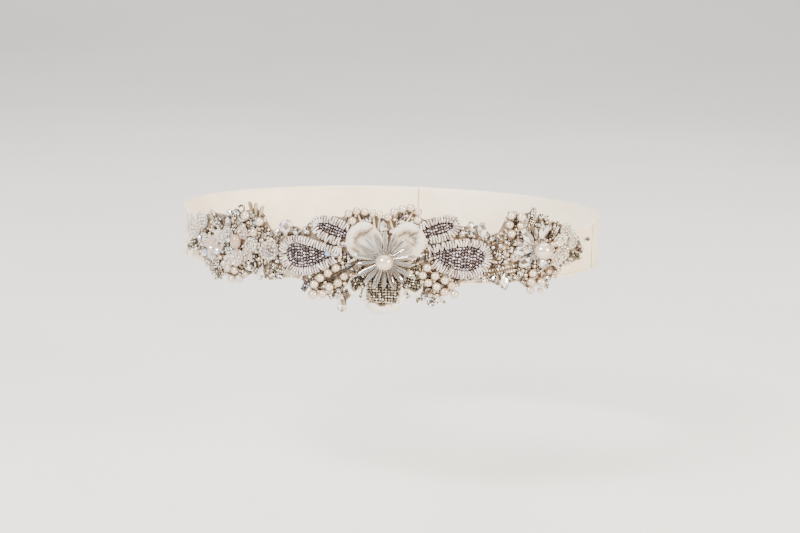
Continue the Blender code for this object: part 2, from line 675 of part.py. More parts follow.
def leaf_fill(leaf):
    """The low rounded pad inside a rim. It begins where the rims are far enough apart."""
    inset = RIM_WIDTH / 2 + FILL_GAP
    half = (leaf["width"] - RIM_WIDTH) / 2
    length = math.hypot(leaf["tip_u"] - leaf["root_u"], leaf["tip_v"] - leaf["root_v"])
    last = 1.0 - inset / (length - RIM_WIDTH / 2)
    shares = np.linspace(max(leaf["upper"], leaf["lower"]), last, 80)
    room = half * leaf_half_width(shares, leaf["slowness"]) - inset
    first = shares[np.argmax(room > FILL_EDGE)]
    sections = []
    for step in np.linspace(0.0, 1.0, FILL_STEPS):
        share = first + (last - first) * math.sin(step * math.pi / 2)
        side = max(half * float(leaf_half_width(share, leaf["slowness"])) - inset, FILL_EDGE)
        swell = math.sin(math.pi * min(step + 0.1, 1.0))
        dome = FILL_HEIGHT * (FILL_END_HEIGHT + (1 - FILL_END_HEIGHT) * swell)
        section = []
        for across, height in FILL_OUTLINE:
            section.append((*leaf_place(leaf, share, side * across), SEAT + dome * height))
        sections.append(section)
    return loft("fill", sections)


def right_hub():
    """The sewn base under the pearl on the right."""
    bm = bmesh.new()
    bmesh.ops.create_cone(
        bm, cap_ends=True, segments=10, radius1=RIGHT_HUB_RADIUS,
        radius2=RIGHT_HUB_RADIUS * HUB_TAPER, depth=RIGHT_HUB_HEIGHT,
    )
    middle = SEAT + RIGHT_HUB_HEIGHT / 2
    bmesh.ops.translate(bm, vec=(RIGHT_U, RIGHT_V, middle), verts=bm.verts)
    return object_from_bmesh("hub", bm)


def briolettes():
    """Clear drops that stand out from under the pearl on the right, fused to its hub."""
    lift = SEAT + BRIOLETTE_LIFT
    drops = []
    for direction, reach, width in BRIOLETTES:
        length = reach - BRIOLETTE_START
        out = BRIOLETTE_START + length / 2
        turn = math.radians(direction)
        u = RIGHT_U + out * math.cos(turn)
        v = RIGHT_V + out * math.sin(turn)
        drop, middle = place_bead(("drop", u, v, 0.0, width, length, direction))
        for vert in drop.data.vertices:
            vert.co.z = lift + (vert.co.z - middle[2]) * BRIOLETTE_FLATNESS
        drops.append(drop)
    return fuse(right_hub(), drops)


def large_pearl(u, v, hub_height, width):
    """A smooth round pearl over a hub."""
    bm = bmesh.new()
    bmesh.ops.create_uvsphere(bm, u_segments=16, v_segments=9, radius=width / 2)
    lift = SEAT + hub_height + SEAM_GAP + width / 2
    bmesh.ops.translate(bm, vec=(u, v, lift), verts=bm.verts)
    return object_from_bmesh("pearl", bm)


def main():
    clear_scene()
    sash = make_collection("bridal_sash")
    satin = make_material("cream_satin", (0.84, 0.75, 0.61), 0.42)
    cloth = make_material("ivory_cloth", (0.86, 0.80, 0.70), 0.8)
    petal_satin = make_material("ivory_petal_satin", (0.85, 0.82, 0.75), 0.4)
    pearl = make_material("ivory_pearl", (0.82, 0.74, 0.62), 0.2)
    rim_bead = make_material("blush_bugle_bead", (0.78, 0.70, 0.66), 0.25)
    silver = make_material("silver_lined_bead", (0.33, 0.28, 0.28), 0.25, metallic=0.6)
    glass = make_material("clear_glass", (0.86, 0.85, 0.84), 0.05, clear=0.8)
    blush = make_material("blush_sequin", (0.80, 0.68, 0.60), 0.3)

    back_end = WAIST_ROUND / 2 + LAP / 2
    side = FRONT_HALF_LENGTH + SEAM_GAP
    front_stations = spaced(-FRONT_HALF_LENGTH, FRONT_HALF_LENGTH, RIBBON_STEP)
    back_stations = spaced(side, back_end, RIBBON_STEP)

    def level(u):
        return 0.0

    ribbons = (
        ("ribbon_front", front_stations, FRONT_WIDTH, 0.0, level),
        ("ribbon_back_left", -back_stations, BACK_WIDTH, BACK_RAISE, level),
        ("ribbon_back_right", back_stations, BACK_WIDTH, BACK_RAISE, lap_lift),
    )
    for name, stations, width, raise_by, lift_at in ribbons:
        lay_on_waist(ribbon(name, stations, width, raise_by, lift_at), name, satin, sash)

    grounds = (
        ("ground_centre", GROUND_CENTRE), ("ground_left", GROUND_LEFT), ("ground_right", GROUND_RIGHT),
    )
    for name, stations in grounds:
        lay_on_waist(ground(name, stations), name, cloth, sash)

    for row in PETALS:
        sizes = dict(zip(PETAL_COLUMNS, row))
        lay_on_waist(petal(sizes), sizes["name"], petal_satin, sash)
    lay_on_waist(burst(), "burst", glass, sash)

    centre_pearl = large_pearl(FLOWER_U, FLOWER_V, HUB_HEIGHT, PEARL_WIDTH)
    lay_on_waist(centre_pearl, "pearl_centre", pearl, sash)

    for row in LEAVES:
        leaf = dict(zip(LEAF_COLUMNS, row))
        lay_on_waist(leaf_rim(leaf), leaf["name"] + "_rim", rim_bead, sash)
        lay_on_waist(leaf_fill(leaf), leaf["name"] + "_fill", silver, sash)

    finishes = {
        "pearl": pearl, "gem": glass, "drop": glass, "disc": glass, "dagger": blush, "leaf": silver,
        "bend": silver,
    }
    special = {"seed_stem_top": silver, "sequin_flower": blush, "blush_bead": blush}
    for name, rows in STRINGS.items():
        material = special.get(name, finishes[rows[0][0]])
        lay_on_waist(bead_string(rows), name, material, sash)
    lay_on_waist(briolettes(), "briolettes_right", glass, sash)
    right_pearl = large_pearl(RIGHT_U, RIGHT_V, RIGHT_HUB_HEIGHT, RIGHT_PEARL_WIDTH)
    lay_on_waist(right_pearl, "pearl_right", pearl, sash)

    for mesh in [m for m in bpy.data.meshes if m.users == 0]:
        bpy.data.meshes.remove(mesh)


main()
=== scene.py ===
import bmesh
import bpy
import numpy as np
from mathutils import Matrix, Vector


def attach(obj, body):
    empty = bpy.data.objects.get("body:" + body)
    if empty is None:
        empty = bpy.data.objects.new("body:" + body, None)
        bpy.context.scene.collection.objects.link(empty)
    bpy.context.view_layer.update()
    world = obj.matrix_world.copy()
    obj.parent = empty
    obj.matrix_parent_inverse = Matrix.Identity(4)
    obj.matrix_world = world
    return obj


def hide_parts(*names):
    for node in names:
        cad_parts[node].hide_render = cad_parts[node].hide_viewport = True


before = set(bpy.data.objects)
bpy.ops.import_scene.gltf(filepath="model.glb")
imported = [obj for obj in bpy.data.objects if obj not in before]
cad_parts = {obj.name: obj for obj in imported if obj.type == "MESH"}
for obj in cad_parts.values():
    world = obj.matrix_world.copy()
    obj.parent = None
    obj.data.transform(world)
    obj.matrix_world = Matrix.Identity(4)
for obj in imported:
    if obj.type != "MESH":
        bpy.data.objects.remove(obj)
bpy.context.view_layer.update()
print("frame loaded")

waist = {"halfWidth": 128.4, "halfDepth": 92.0}  # the ellipse under the ribbon's outer face
seat = 1.6  # lift of the beads' undersides, over the beading grounds

# the waist line
turnTable = np.linspace(-1.3 * np.pi, 1.3 * np.pi, 5201)
turnSteps = np.hypot(
    np.diff(waist["halfWidth"] * np.sin(turnTable)), np.diff(waist["halfDepth"] * np.cos(turnTable))
)
arcTable = np.concatenate(([0.0], np.cumsum(turnSteps)))
arcTable -= np.interp(0.0, turnTable, arcTable)
waistRound = 2 * np.interp(np.pi, turnTable, arcTable)


# ellipse point at arc length u, moved out along its normal by lift; v stays the height; mm to metres
def onWaist(flat):
    turn = np.interp(flat[:, 0], arcTable, turnTable)
    outX, outY = np.sin(turn) / waist["halfWidth"], -np.cos(turn) / waist["halfDepth"]
    size = np.hypot(outX, outY)
    x = waist["halfWidth"] * np.sin(turn) + flat[:, 2] * outX / size
    y = -waist["halfDepth"] * np.cos(turn) + flat[:, 2] * outY / size
    return np.column_stack((x, y, flat[:, 1])) / 1000


# shapes as (points, faces)
# quads between rings of points: point (i, k) joins (i, k+1), (i+1, k+1) and (i+1, k)
def ringQuads(rings, sides):
    i, k = np.meshgrid(np.arange(rings - 1), np.arange(sides), indexing="ij")
    after = (k + 1) % sides
    quads = np.stack((i * sides + k, i * sides + after, (i + 1) * sides + after, (i + 1) * sides + k), -1)
    return quads.reshape(-1, 4)


# a closed skin over an array of rings (n, m, 3): quads between them and a fan of triangles at each end
def skin(sections):
    rings, sides = sections.shape[:2]
    points = np.vstack((sections.reshape(-1, 3), sections[0].mean(0), sections[-1].mean(0)))
    k = np.arange(sides)
    after = (k + 1) % sides
    last = (rings - 1) * sides
    first = np.column_stack((np.full(sides, rings * sides), after, k))
    end = np.column_stack((np.full(sides, rings * sides + 1), last + k, last + after))
    return points, [ringQuads(rings, sides), np.vstack((first, end))]


# x = along, y = radius cos a, z = radius sin a: an outline turned round the x axis
def turnedShape(along, radius, sides, twist=0.0):
    along, radius = np.asarray(along, float)[:, None], np.asarray(radius, float)[:, None]
    angle = np.arange(sides) * 2 * np.pi / sides + twist * np.arange(len(along))[:, None]
    return skin(np.stack((along + 0 * angle, radius * np.cos(angle), radius * np.sin(angle)), -1))


# rings of (height, radius), each turned half a step from the last, joined by triangles: cut facets
def cutShape(heights, radii, sides):
    heights, radii = np.asarray(heights, float)[:, None], np.asarray(radii, float)[:, None]
    angle = (np.arange(sides) + 0.5 * (np.arange(len(heights)) % 2)[:, None]) * 2 * np.pi / sides
    rings = np.stack((radii * np.cos(angle), radii * np.sin(angle), heights + 0 * angle), -1)
    i, k = np.meshgrid(np.arange(len(heights) - 1), np.arange(sides), indexing="ij")
    after, even = (k + 1) % sides, i % 2 == 0
    low, high = i * sides, (i + 1) * sides
    one = np.stack((low + k, low + after, high + np.where(even, k, after)), -1).reshape(-1, 3)
    two = np.stack((low + np.where(even, after, k), high + after, high + k), -1).reshape(-1, 3)
    points, faces = skin(rings)
    return points, [one, two, faces[1]]


# a circle carried along a path: path + radius (cos a * across + sin a * up)
def cordShape(path, radius, sides=6):
    path = np.asarray(path, float)
    ahead = np.gradient(path, axis=0)
    ahead /= np.linalg.norm(ahead, axis=1)[:, None]
    across = np.cross((0.0, 0.0, 1.0), ahead)
    across /= np.maximum(np.linalg.norm(across, axis=1), 1e-6)[:, None]
    up = np.cross(ahead, across)
    angle = np.arange(sides) * 2 * np.pi / sides
    radius = np.broadcast_to(radius, len(path))[:, None, None]
    ring = np.cos(angle)[None, :, None] * across[:, None] + np.sin(angle)[None, :, None] * up[:, None]
    return skin(path[:, None] + radius * ring)


# points scaled, rolled about x, tilted about y, turned about z, then moved to their place
def placed(shape, at, size=(1, 1, 1), angle=0.0, tilt=0.0, roll=0.0):
    turn = Matrix.Rotation(np.radians(angle), 3, "Z") @ Matrix.Rotation(np.radians(tilt), 3, "Y")
    turn = np.array(turn @ Matrix.Rotation(np.radians(roll), 3, "X"))
    return (shape[0] * size) @ turn.T + at, shape[1]


# how far along u and v a place lies that is so far out in a direction in radians
def polar(reach, at):
    return reach * np.cos(at), reach * np.sin(at)


# an object of that name in the scene
def newObject(name, data):
    made = bpy.data.objects.new(name, data)
    bpy.context.scene.collection.objects.link(made)
    return made


# shapes gathered flat for one piece
def newHeap():
    return {"points": [], "faces": [], "finish": [], "tone": [], "smooth": [], "count": 0}


# puts a shape on the heap; its tone varies by the spread from facet to facet, or, for a shape of
# so many streaks, from side to side along its whole length
def add(heap, shape, finish, tone=0.5, spread=0.0, smooth=True, streaks=0):
    sides = chance.random(streaks)
    heap["points"].append(shape[0])
    for block in shape[1]:
        heap["faces"].append(block + heap["count"])
        heap["finish"] += [finish] * len(block)
        shuffled = chance.permutation(len(block)) / max(len(block) - 1, 1)
        vary = sides[np.arange(len(block)) % streaks] if streaks else shuffled
        heap["tone"].append(np.clip(tone + spread * (vary - 0.5) * 2, 0, 1))
        heap["smooth"].append(np.full(len(block), smooth))
    heap["count"] += len(shape[0])


# the heap as one mesh, bent round the waist, with a tone for every face and a finish for every part
def makePiece(name, heap, nodes=(), flatUv=False, fold=None):
    flat = np.vstack(heap["points"])
    sizes = np.concatenate([np.full(len(block), block.shape[1]) for block in heap["faces"]])
    corners = np.concatenate([block.ravel() for block in heap["faces"]])
    mesh = bpy.data.meshes.new(name)
    mesh.vertices.add(len(flat))
    mesh.vertices.foreach_set("co", onWaist(flat).ravel())
    mesh.loops.add(len(corners))
    mesh.loops.foreach_set("vertex_index", corners)
    mesh.polygons.add(len(sizes))
    mesh.polygons.foreach_set("loop_start", np.concatenate(([0], np.cumsum(sizes)[:-1])))
    used = sorted(set(heap["finish"]))
    for finish in used:
        mesh.materials.append(finishes[finish])
    slots = {finish: k for k, finish in enumerate(used)}
    mesh.polygons.foreach_set("material_index", [slots[finish] for finish in heap["finish"]])
    mesh.update(calc_edges=True)
    mesh.attributes.new("tone", "FLOAT", "FACE").data.foreach_set("value", np.concatenate(heap["tone"]))
    mesh.polygons.foreach_set("use_smooth", np.concatenate(heap["smooth"]))
    if flatUv:  # millimetres along and across the ribbon, for its weave
        mesh.uv_layers.new(name="weave").data.foreach_set("uv", flat[corners][:, :2].ravel())
    if fold is not None:  # painted shade of each point, darkest in the hollow and along the folds of the cloth
        mesh.attributes.new("fold", "FLOAT", "POINT").data.foreach_set("value", fold)
    mesh.validate()
    bm = bmesh.new()
    bm.from_mesh(mesh)
    bmesh.ops.recalc_face_normals(bm, faces=bm.faces)
    bm.to_mesh(mesh)
    bm.free()
    piece = newObject(name, mesh)
    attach(piece, "root")
    if nodes:
        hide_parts(*nodes)
    return piece


# ground_left becomes groundLeft
def pieceName(node):
    first, *rest = node.split("_")
    return first + "".join(word.title() for word in rest)


chance = np.random.default_rng(27)


# finishes
# sRGB hex to linear
def colour(code):
    raw = np.array([int(code[k:k + 2], 16) for k in (0, 2, 4)]) / 255
    return (*np.where(raw <= 0.04045, raw / 12.92, ((raw + 0.055) / 1.055) ** 2.4), 1.0)


# one node with its settings; each socket takes a value or a link
def addNode(tree, kind, settings=None, sockets=None):
    made = tree.nodes.new(kind)
    for name, value in (settings or {}).items():
        if name == "stops":
            ramp = made.color_ramp
            while len(ramp.elements) < len(value):
                ramp.elements.new(1.0)
            for element, (place, code) in zip(ramp.elements, value.items()):
                element.position, element.color = place, colour(code)
        else:
            setattr(made, name, value)
    for name, value in (sockets or {}).items():
        if isinstance(value, bpy.types.NodeSocket):
            tree.links.new(value, made.inputs[name])
        else:
            made.inputs[name].default_value = value
    return made


# colour that runs from stop to stop
def ramp(tree, stops, share):
    return addNode(tree, "ShaderNodeValToRGB", {"stops": stops}, {"Fac": share}).outputs["Color"]


# cloudy pattern; the scale is in waves per unit of the vector
def noise(tree, vector, scale, detail=2.0, roughness=0.5):
    sockets = {"Vector": vector, "Scale": scale, "Detail": detail, "Roughness": roughness}
    return addNode(tree, "ShaderNodeTexNoise", None, sockets).outputs


# bands across a direction, closer for a larger scale
def yarnsAcross(tree, vector, direction, scale, **more):
    sockets = {"Vector": vector, "Scale": scale, **more}
    return addNode(tree, "ShaderNodeTexWave", {"bands_direction": direction}, sockets).outputs


# normal tilted by the slope of a pattern that rises by distance, in metres
def bump(tree, height, strength, distance, **more):
    sockets = {"Height": height, "Strength": strength, "Distance": distance, **more}
    return addNode(tree, "ShaderNodeBump", None, sockets).outputs[0]


# a material under its name in finishes, with the sockets of its shader set
def startMaterial(name, sockets):
    material = bpy.data.materials.new(name)
    material.use_nodes = True
    tree = material.node_tree
    shader = tree.nodes["Principled BSDF"]
    for socket, value in sockets.items():
        shader.inputs[socket].default_value = value
    finishes[name] = material
    return tree, shader


finishes = {}
# woven satin ribbon: long floats of yarn give a soft sheen that runs along the ribbon
tree, shader = startMaterial("wovenSatin", {
    "Roughness": 0.42, "Sheen Weight": 0.25, "Sheen Roughness": 0.4, "Anisotropic": 0.35, "IOR": 1.5,
})
flat = addNode(tree, "ShaderNodeUVMap", {"uv_map": "weave"}).outputs[0]
shade = noise(tree, flat, 0.06, 3.0, 0.55)
# yarns 0.5 mm apart: real ones are 0.1 mm and would not show
yarns = yarnsAcross(tree, flat, "X", 0.628, **{"Distortion": 2.0, "Detail": 2.0, "Detail Scale": 1.5})
woven = addNode(tree, "ShaderNodeMix", {"data_type": "RGBA", "blend_type": "MULTIPLY"}, {
    0: 0.10, 6: ramp(tree, {0.3: "F3E2C5", 0.7: "FCF1DA"}, shade["Fac"]), 7: yarns["Color"],
})
tree.links.new(woven.outputs[2], shader.inputs["Base Color"])
ripple = bump(tree, yarns["Fac"], 0.12, 0.0001)
tree.links.new(bump(tree, shade["Fac"], 0.35, 0.0012, Normal=ripple), shader.inputs["Normal"])

# plain beige cloth under the beads, coloured darker than it is as painted shade in the gaps between them:
# matt, with a 0.6 mm over-and-under weave
tree, shader = startMaterial("ivoryCloth", {"Roughness": 0.85, "Sheen Weight": 0.15})
flat = addNode(tree, "ShaderNodeUVMap", {"uv_map": "weave"}).outputs[0]
over, under = (yarnsAcross(tree, flat, way, 0.52, Distortion=0.6)["Fac"] for way in "XY")
cross = addNode(tree, "ShaderNodeMath", {"operation": "MULTIPLY"}, {0: over, 1: under}).outputs[0]
tree.links.new(ramp(tree, {0: "7C6753", 0.8: "B09D86"}, cross), shader.inputs["Base Color"])
tree.links.new(bump(tree, cross, 0.4, 0.0002), shader.inputs["Normal"])

# petal satin: off-white, matter than the ribbon, with painted shade in beige to brown in the hollow and
# where the cloth folds in
tree, shader = startMaterial("petalSatin", {
    "Roughness": 0.5, "Sheen Weight": 0.3, "Sheen Roughness": 0.35,
})
# depth here is the painted fold shade, read from the mesh
depth = addNode(tree, "ShaderNodeAttribute", {"attribute_name": "fold"}).outputs["Fac"]
satinPaintedShade = ramp(tree, {0: "DFD9CE", 0.35: "C4B6A4", 1: "745F4A"}, depth)
tree.links.new(satinPaintedShade, shader.inputs["Base Color"])
place = addNode(tree, "ShaderNodeTexCoord").outputs["Object"]
# yarns of the satin, 0.35 mm apart so that they just show, over a four times deeper crumpling
both = addNode(tree, "ShaderNodeMath", {"operation": "MULTIPLY_ADD"}, {
    0: noise(tree, place, 260.0, 4.0)["Fac"], 1: 4.0,
    2: yarnsAcross(tree, place, "DIAGONAL", 900.0, Distortion=1.0)["Fac"],
})
tree.links.new(bump(tree, both.outputs[0], 0.3, 0.00012), shader.inputs["Normal"])

# ivory pearl: nacre under a clear coat, with painted shade: brown mixed in towards its rim
tree, shader = startMaterial("ivoryPearl", {
    "Roughness": 0.2, "Metallic": 0.32, "Coat Weight": 1.0, "Coat Roughness": 0.04,
})
# painted shade: the colour turns brown where the surface turns away, at the pearl's rim
facing = addNode(tree, "ShaderNodeLayerWeight", None, {"Blend": 0.42}).outputs["Facing"]
tone = addNode(tree, "ShaderNodeAttribute", {"attribute_name": "tone"}).outputs["Fac"]
nacrePaintedRimShade = addNode(tree, "ShaderNodeMix", {"data_type": "RGBA"}, {
    0: facing, 6: ramp(tree, {0: "D2BEA4", 1: "E6DAC8"}, tone), 7: colour("94765A"),
})
tree.links.new(nacrePaintedRimShade.outputs[2], shader.inputs["Base Color"])

# finishes that take their colour from each bead's or facet's own tone: stops from dark to light,
# then the sockets of the shader, as far as they differ from its own values
tonedSockets = ("Roughness", "Coat Weight", "Metallic", "Transmission Weight", "IOR", "Coat Roughness")
toned = {
    # milky blush seed beads of the leaf rims, with a wet gloss
    "blushSeed": ({0: "8A7870", 0.5: "CBBFB9", 1: "F5F0ED"}, 0.22, 0.5, 0, 0, 1.5, 0.08),
    # silver-lined lilac glass: small bright beads that read as metal
    "silverLined": ({0: "352A27", 0.5: "85787A", 1: "ECE4EC"}, 0.16, 0, 0.7),
    # smoky olive glass beads of the dark leaf tips
    "smokySeed": ({0: "2A231A", 0.5: "6C6452", 1: "E4DECE"}, 0.16, 0, 0.6),
    # silver seed beads of the side leaves: warmer, a little gold
    "warmSilver": ({0: "54483A", 0.4: "A99D8A", 1: "F8F4EA"}, 0.16, 0, 0.65),
    # cut glass on foil: each facet gets a light or dark tone, as painted reflections
    "foiledStone": (
        {0: "1C1512", 0.3: "4E4038", 0.55: "9C9087", 0.75: "F0EDE9", 1: "FFFFFF"},
        0.06, 1, 0.5, 0, 1.5, 0.02,
    ),
    # cut glass with an aurora coat: pastel facets
    "auroraStone": (
        {0: "AE92DC", 0.25: "74B4F2", 0.5: "F2EFED", 0.75: "F4CDB4", 1: "A4DEC2"},
        0.05, 1, 0.45, 0, 1.5, 0.02,
    ),
    # cut glass on a golden foil, its facets in light and dark tones as painted reflections
    "smokedStone": (
        {0: "20150E", 0.35: "5A4631", 0.65: "AC987C", 0.85: "EEE7DB", 1: "FFFFFF"},
        0.06, 1, 0.5, 0, 1.5, 0.02,
    ),
    # cut drops, backed by their own facets: lighter and darker planes, painted reflections, more than
    # see-through
    "cutGlass": (
        {0: "574A3E", 0.3: "958779", 0.55: "CFC6BC", 0.8: "F4F0EC", 1: "FFFFFF"}, 0.04, 0.8, 0, 0.3, 1.52,
    ),
    # clear glass of the daggers and small beads; the daggers' light and dark streaks are painted
    # reflections
    "clearGlass": ({0: "6E5E50", 0.3: "B5A898", 0.6: "ECE5DB", 1: "FFFFFF"}, 0.04, 0.6, 0, 0.82, 1.52),
    # thin moulded sequins, blush and see-through
    "blushSequin": ({0: "C6A592", 0.5: "DDC4B6", 1: "F2E4DC"}, 0.14, 0.8, 0, 0.35, 1.5),
    "blushBead": ({0: "BC9C88", 1: "DEC6B6"}, 0.18, 0.8, 0, 0.25),
    "creamBugle": ({0: "806949", 1: "D2C3A9"}, 0.25, 0.5),  # opaque glass
    # see-through white sequins
    "clearSequin": ({0: "D0C3B2", 0.6: "EFE7DA", 1: "FEFAF2"}, 0.1, 0.8, 0, 0.3, 1.5),
    "platedCup": ({0: "564D46", 1: "CFC9C1"}, 0.2, 0, 1),  # rhodium on cups and claws
    # cotton padding, coloured near black or dark pink-brown as painted shade in the gaps between the beads,
    # and thread
    "darkPadding": ({0: "2C201C", 1: "4E3E37"}, 0.9),
    "blushPadding": ({0: "463934", 1: "5E4F48"}, 0.9),
    "creamThread": ({0: "C9B79A", 1: "E4D8C2"}, 0.7),
    "greyThread": ({0: "140F0C", 1: "281F1A"}, 0.8),
}
for name, (stops, *settings) in toned.items():
    tree, shader = startMaterial(name, dict(zip(tonedSockets, settings)))
    tone = addNode(tree, "ShaderNodeAttribute", {"attribute_name": "tone"}).outputs["Fac"]
    # fine unevenness of the glass or thread, about 0.6 mm across
    uneven = noise(tree, addNode(tree, "ShaderNodeTexCoord").outputs["Object"], 1600.0)
    soft = addNode(tree, "ShaderNodeMix", {"data_type": "RGBA", "blend_type": "OVERLAY"}, {
        0: 0.12, 6: ramp(tree, stops, tone), 7: uneven["Color"],
    })
    tree.links.new(soft.outputs[2], shader.inputs["Base Color"])
    if settings[0] > 0.15:  # the smoother ones stay clear
        tree.links.new(bump(tree, uneven["Fac"], 0.2, 0.00008), shader.inputs["Normal"])
print("finishes made:", len(finishes))


# ribbon: a strip of satin with a hem along both edges, thin and slightly slack
ribbon = {
    "wall": 1.4, "frontWidth": 28.0, "frontHalf": 147.0, "backWidth": 29.5, "backRaise": 0.6,
    "gap": 0.3, "hem": 1.45, "hemDepth": 0.25, "lap": 30.0, "ramp": 16.0, "step": 1.5,
    "stitch": 1.6, "dent": 0.18, "slack": 0.22, "waver": 0.12,
}


# the outline of the strip, walked from its inner lower corner round: (place across, lift)
def ribbonOutline(width):
    half, hem, wall, dip = width / 2, ribbon["hem"], ribbon["wall"], ribbon["hemDepth"]
    across = np.array([
        0.25 - half, half - 0.25, half, half, half - 0.3, half - hem + 0.3, half - hem, half - hem - 0.35,
        0.3 * half, -0.3 * half, hem + 0.35 - half, hem - half, hem - 0.3 - half, 0.3 - half, -half, -half,
    ])
    lift = np.array([
        -wall, -wall, 0.25 - wall, -0.25, 0.0, 0.0, -0.45, -dip, -dip, -dip, -dip, -0.45, 0.0, 0.0, -0.25,
        0.25 - wall,
    ])
    return across, lift


# the outline carried along u; the face swells and dips by slack * waves, and stitches dent the hem
def ribbonShape(start, end, width, raiseBy, liftAt):
    u = np.linspace(start, end, int(abs(end - start) / ribbon["step"]) + 2)
    across, lift = ribbonOutline(width)
    face = np.abs(across) < width / 2 - ribbon["hem"] - 0.1
    groove = np.isclose(np.abs(across), width / 2 - ribbon["hem"])
    stitched = ribbon["dent"] * np.cos(u * 2 * np.pi / ribbon["stitch"] / 2)
    swell = np.sin(u / 9.0)[:, None] * np.cos(across / 6.0) + np.sin(u[:, None] / 23.0 + across / 11.0)
    moved = lift + liftAt(u)[:, None] + groove * stitched[:, None] * 0.5
    moved = moved + ribbon["slack"] * 0.5 * (swell - 2.0) * (face & (lift > -0.5))
    waver = ribbon["waver"] * np.sin(u / 31.0)[:, None]
    return skin(np.stack((u[:, None] + 0 * moved, across + raiseBy + waver, moved), -1))


# the right end climbs over the left one: a smooth step of one wall and a gap
def lapLift(u):
    full = waistRound / 2 - ribbon["lap"] / 2 - 1.0
    share = np.clip((u - full + ribbon["ramp"]) / ribbon["ramp"], 0.0, 1.0)
    return (ribbon["wall"] + ribbon["gap"]) * share * share * (3 - 2 * share)


# no lift anywhere
def flatLift(u):
    return 0.0 * u


backStart = ribbon["frontHalf"] + ribbon["gap"]
backEnd = waistRound / 2 + ribbon["lap"] / 2
strips = {
    "ribbon_front": (-ribbon["frontHalf"], ribbon["frontHalf"], ribbon["frontWidth"], 0.0, flatLift),
    "ribbon_back_left": (-backStart, -backEnd, ribbon["backWidth"], ribbon["backRaise"], flatLift),
    "ribbon_back_right": (backStart, backEnd, ribbon["backWidth"], ribbon["backRaise"], lapLift),
}
for name, strip in strips.items():
    heap = newHeap()
    add(heap, ribbonShape(*strip), "wovenSatin")
    piece = makePiece(pieceName(name), heap, [name], flatUv=True)
print("ribbons made")

# beading grounds: cloth shapes under the beads; each row is place along u, lower and upper edge
grounds = {
    "ground_centre": (
        (-60.8, -3, 10), (-57, -8, 17), (-52, -10, 17), (-48, -14, 15), (-44, -17, 20.5), (-40, -21, 22.5),
        (-34, -22, 24.5), (-29, -22, 24.5), (-25, -23, 24), (-22, -25, 27), (-17, -19, 28), (-12, -24, 28),
        (-6, -29, 26), (0, -29.5, 24), (6, -29, 28), (12, -23, 30), (17, -19, 27), (22, -20, 24),
        (28, -22, 25.5), (34, -20, 26), (39, -17, 23), (44, -12, 20),
        (50, -11, 21), (56, -11, 20), (60.8, -11, 15),
    ),
    "ground_left": (
        (-135, -6, -2), (-130, -7, 10), (-125, -8, 13), (-118, -11, 17), (-112, -16, 19),
        (-106, -19, 19), (-100, -17, 19), (-93, -18, 21), (-86, -17, 23), (-80, -13, 25),
        (-74, -15, 24), (-68, -16, 14), (-61.1, -14, 13),
    ),
    "ground_right": (
        (61.1, -12, 15), (66, -15, 16), (71, -15, 26), (78, -12, 26), (86, -18, 27), (93, -15, 24),
        (99, -16, 22), (104, -13, 20), (110, -8, 18), (117, -6, 13), (125, -5, 8), (129, -3, 4),
    ),
}

# sections across the cloth, from its lower to its upper edge, with rounded edges
for name, rows in grounds.items():
    table = np.array(rows, float)
    u = np.linspace(table[0, 0], table[-1, 0], int(table[-1, 0] - table[0, 0]) + 1)
    low, high = (np.interp(u, table[:, 0], table[:, k])[:, None] for k in (1, 2))
    across = np.array([0.02, 0.98, 1.0, 1.0, 0.98, 0.75, 0.5, 0.25, 0.02, 0.0, 0.0])
    lift = np.array([0.3, 0.3, 0.45, 1.1, 1.3, 1.3, 1.3, 1.3, 1.3, 1.1, 0.45])
    points = np.stack((u[:, None] + 0 * (across + low), low + (high - low) * across, lift + 0 * low), -1)
    heap = newHeap()
    add(heap, skin(points), "ivoryCloth")
    piece = makePiece(pieceName(name), heap, [name], flatUv=True)
    size = (np.ptp(u), np.ptp(np.concatenate((low, high))))
print("grounds made")

# unit forms, each carried to its place by placed()
turn = np.linspace(0, np.pi, 11)
ballForm = turnedShape(-0.5 * np.cos(turn), 0.5 * np.maximum(np.sin(turn), 0.06), 16)
turn = np.linspace(0, np.pi, 6)
smallBallForm = turnedShape(-0.5 * np.cos(turn), 0.5 * np.maximum(np.sin(turn), 0.1), 8)
seedForm = turnedShape((-0.38, -0.5, -0.24, 0.24, 0.5, 0.38), (0.15, 0.31, 0.5, 0.5, 0.31, 0.15), 7)
daggerForm = turnedShape(
    (-0.5, -0.46, -0.3, 0.0, 0.22, 0.38, 0.47, 0.5), (0.06, 0.2, 0.3, 0.44, 0.5, 0.42, 0.24, 0.04), 10
)
crownForm = cutShape((0.3, 0.42, 0.56), (0.48, 0.46, 0.26), 6)
cupForm = cutShape((0.0, 0.34), (0.4, 0.5), 12)
dropForm = cutShape((-0.5, -0.24, 0.08, 0.36, 0.5), (0.05, 0.37, 0.54, 0.42, 0.1), 6)
dropForm = (dropForm[0][:, [2, 0, 1]], dropForm[1])


# a ball, or an oval of its length, that stands on lift; small ones have fewer sides
def pearl(heap, u, v, lift, width, length=None, angle=0.0, finish="ivoryPearl", tone=None):
    tone = chance.uniform(0.1, 0.9) if tone is None else tone
    size = (length or width, width, width)
    form = ballForm if width > 3.1 else smallBallForm
    add(heap, placed(form, (u, v, lift + width / 2), size, angle), finish, tone)


# a seed bead; angle turns its hole in the plane and stand lifts it on end
def seed(heap, u, v, lift, width, finish, angle=0.0, length=None, stand=0.0, tone=None):
    tone = chance.random() if tone is None else tone
    size = (length or width * 0.75, width, width)
    add(heap, placed(seedForm, (u, v, lift + width / 2), size, angle, stand), finish, tone)


# a cut stone: crown of facets over a plated cup with four claws, sizes as shares of its width
claw = {"out": 0.45, "up": 0.4, "size": 0.16}
crownPaintedReflections = (0.48, 0.85)  # middle and spread from facet to facet: painted reflections
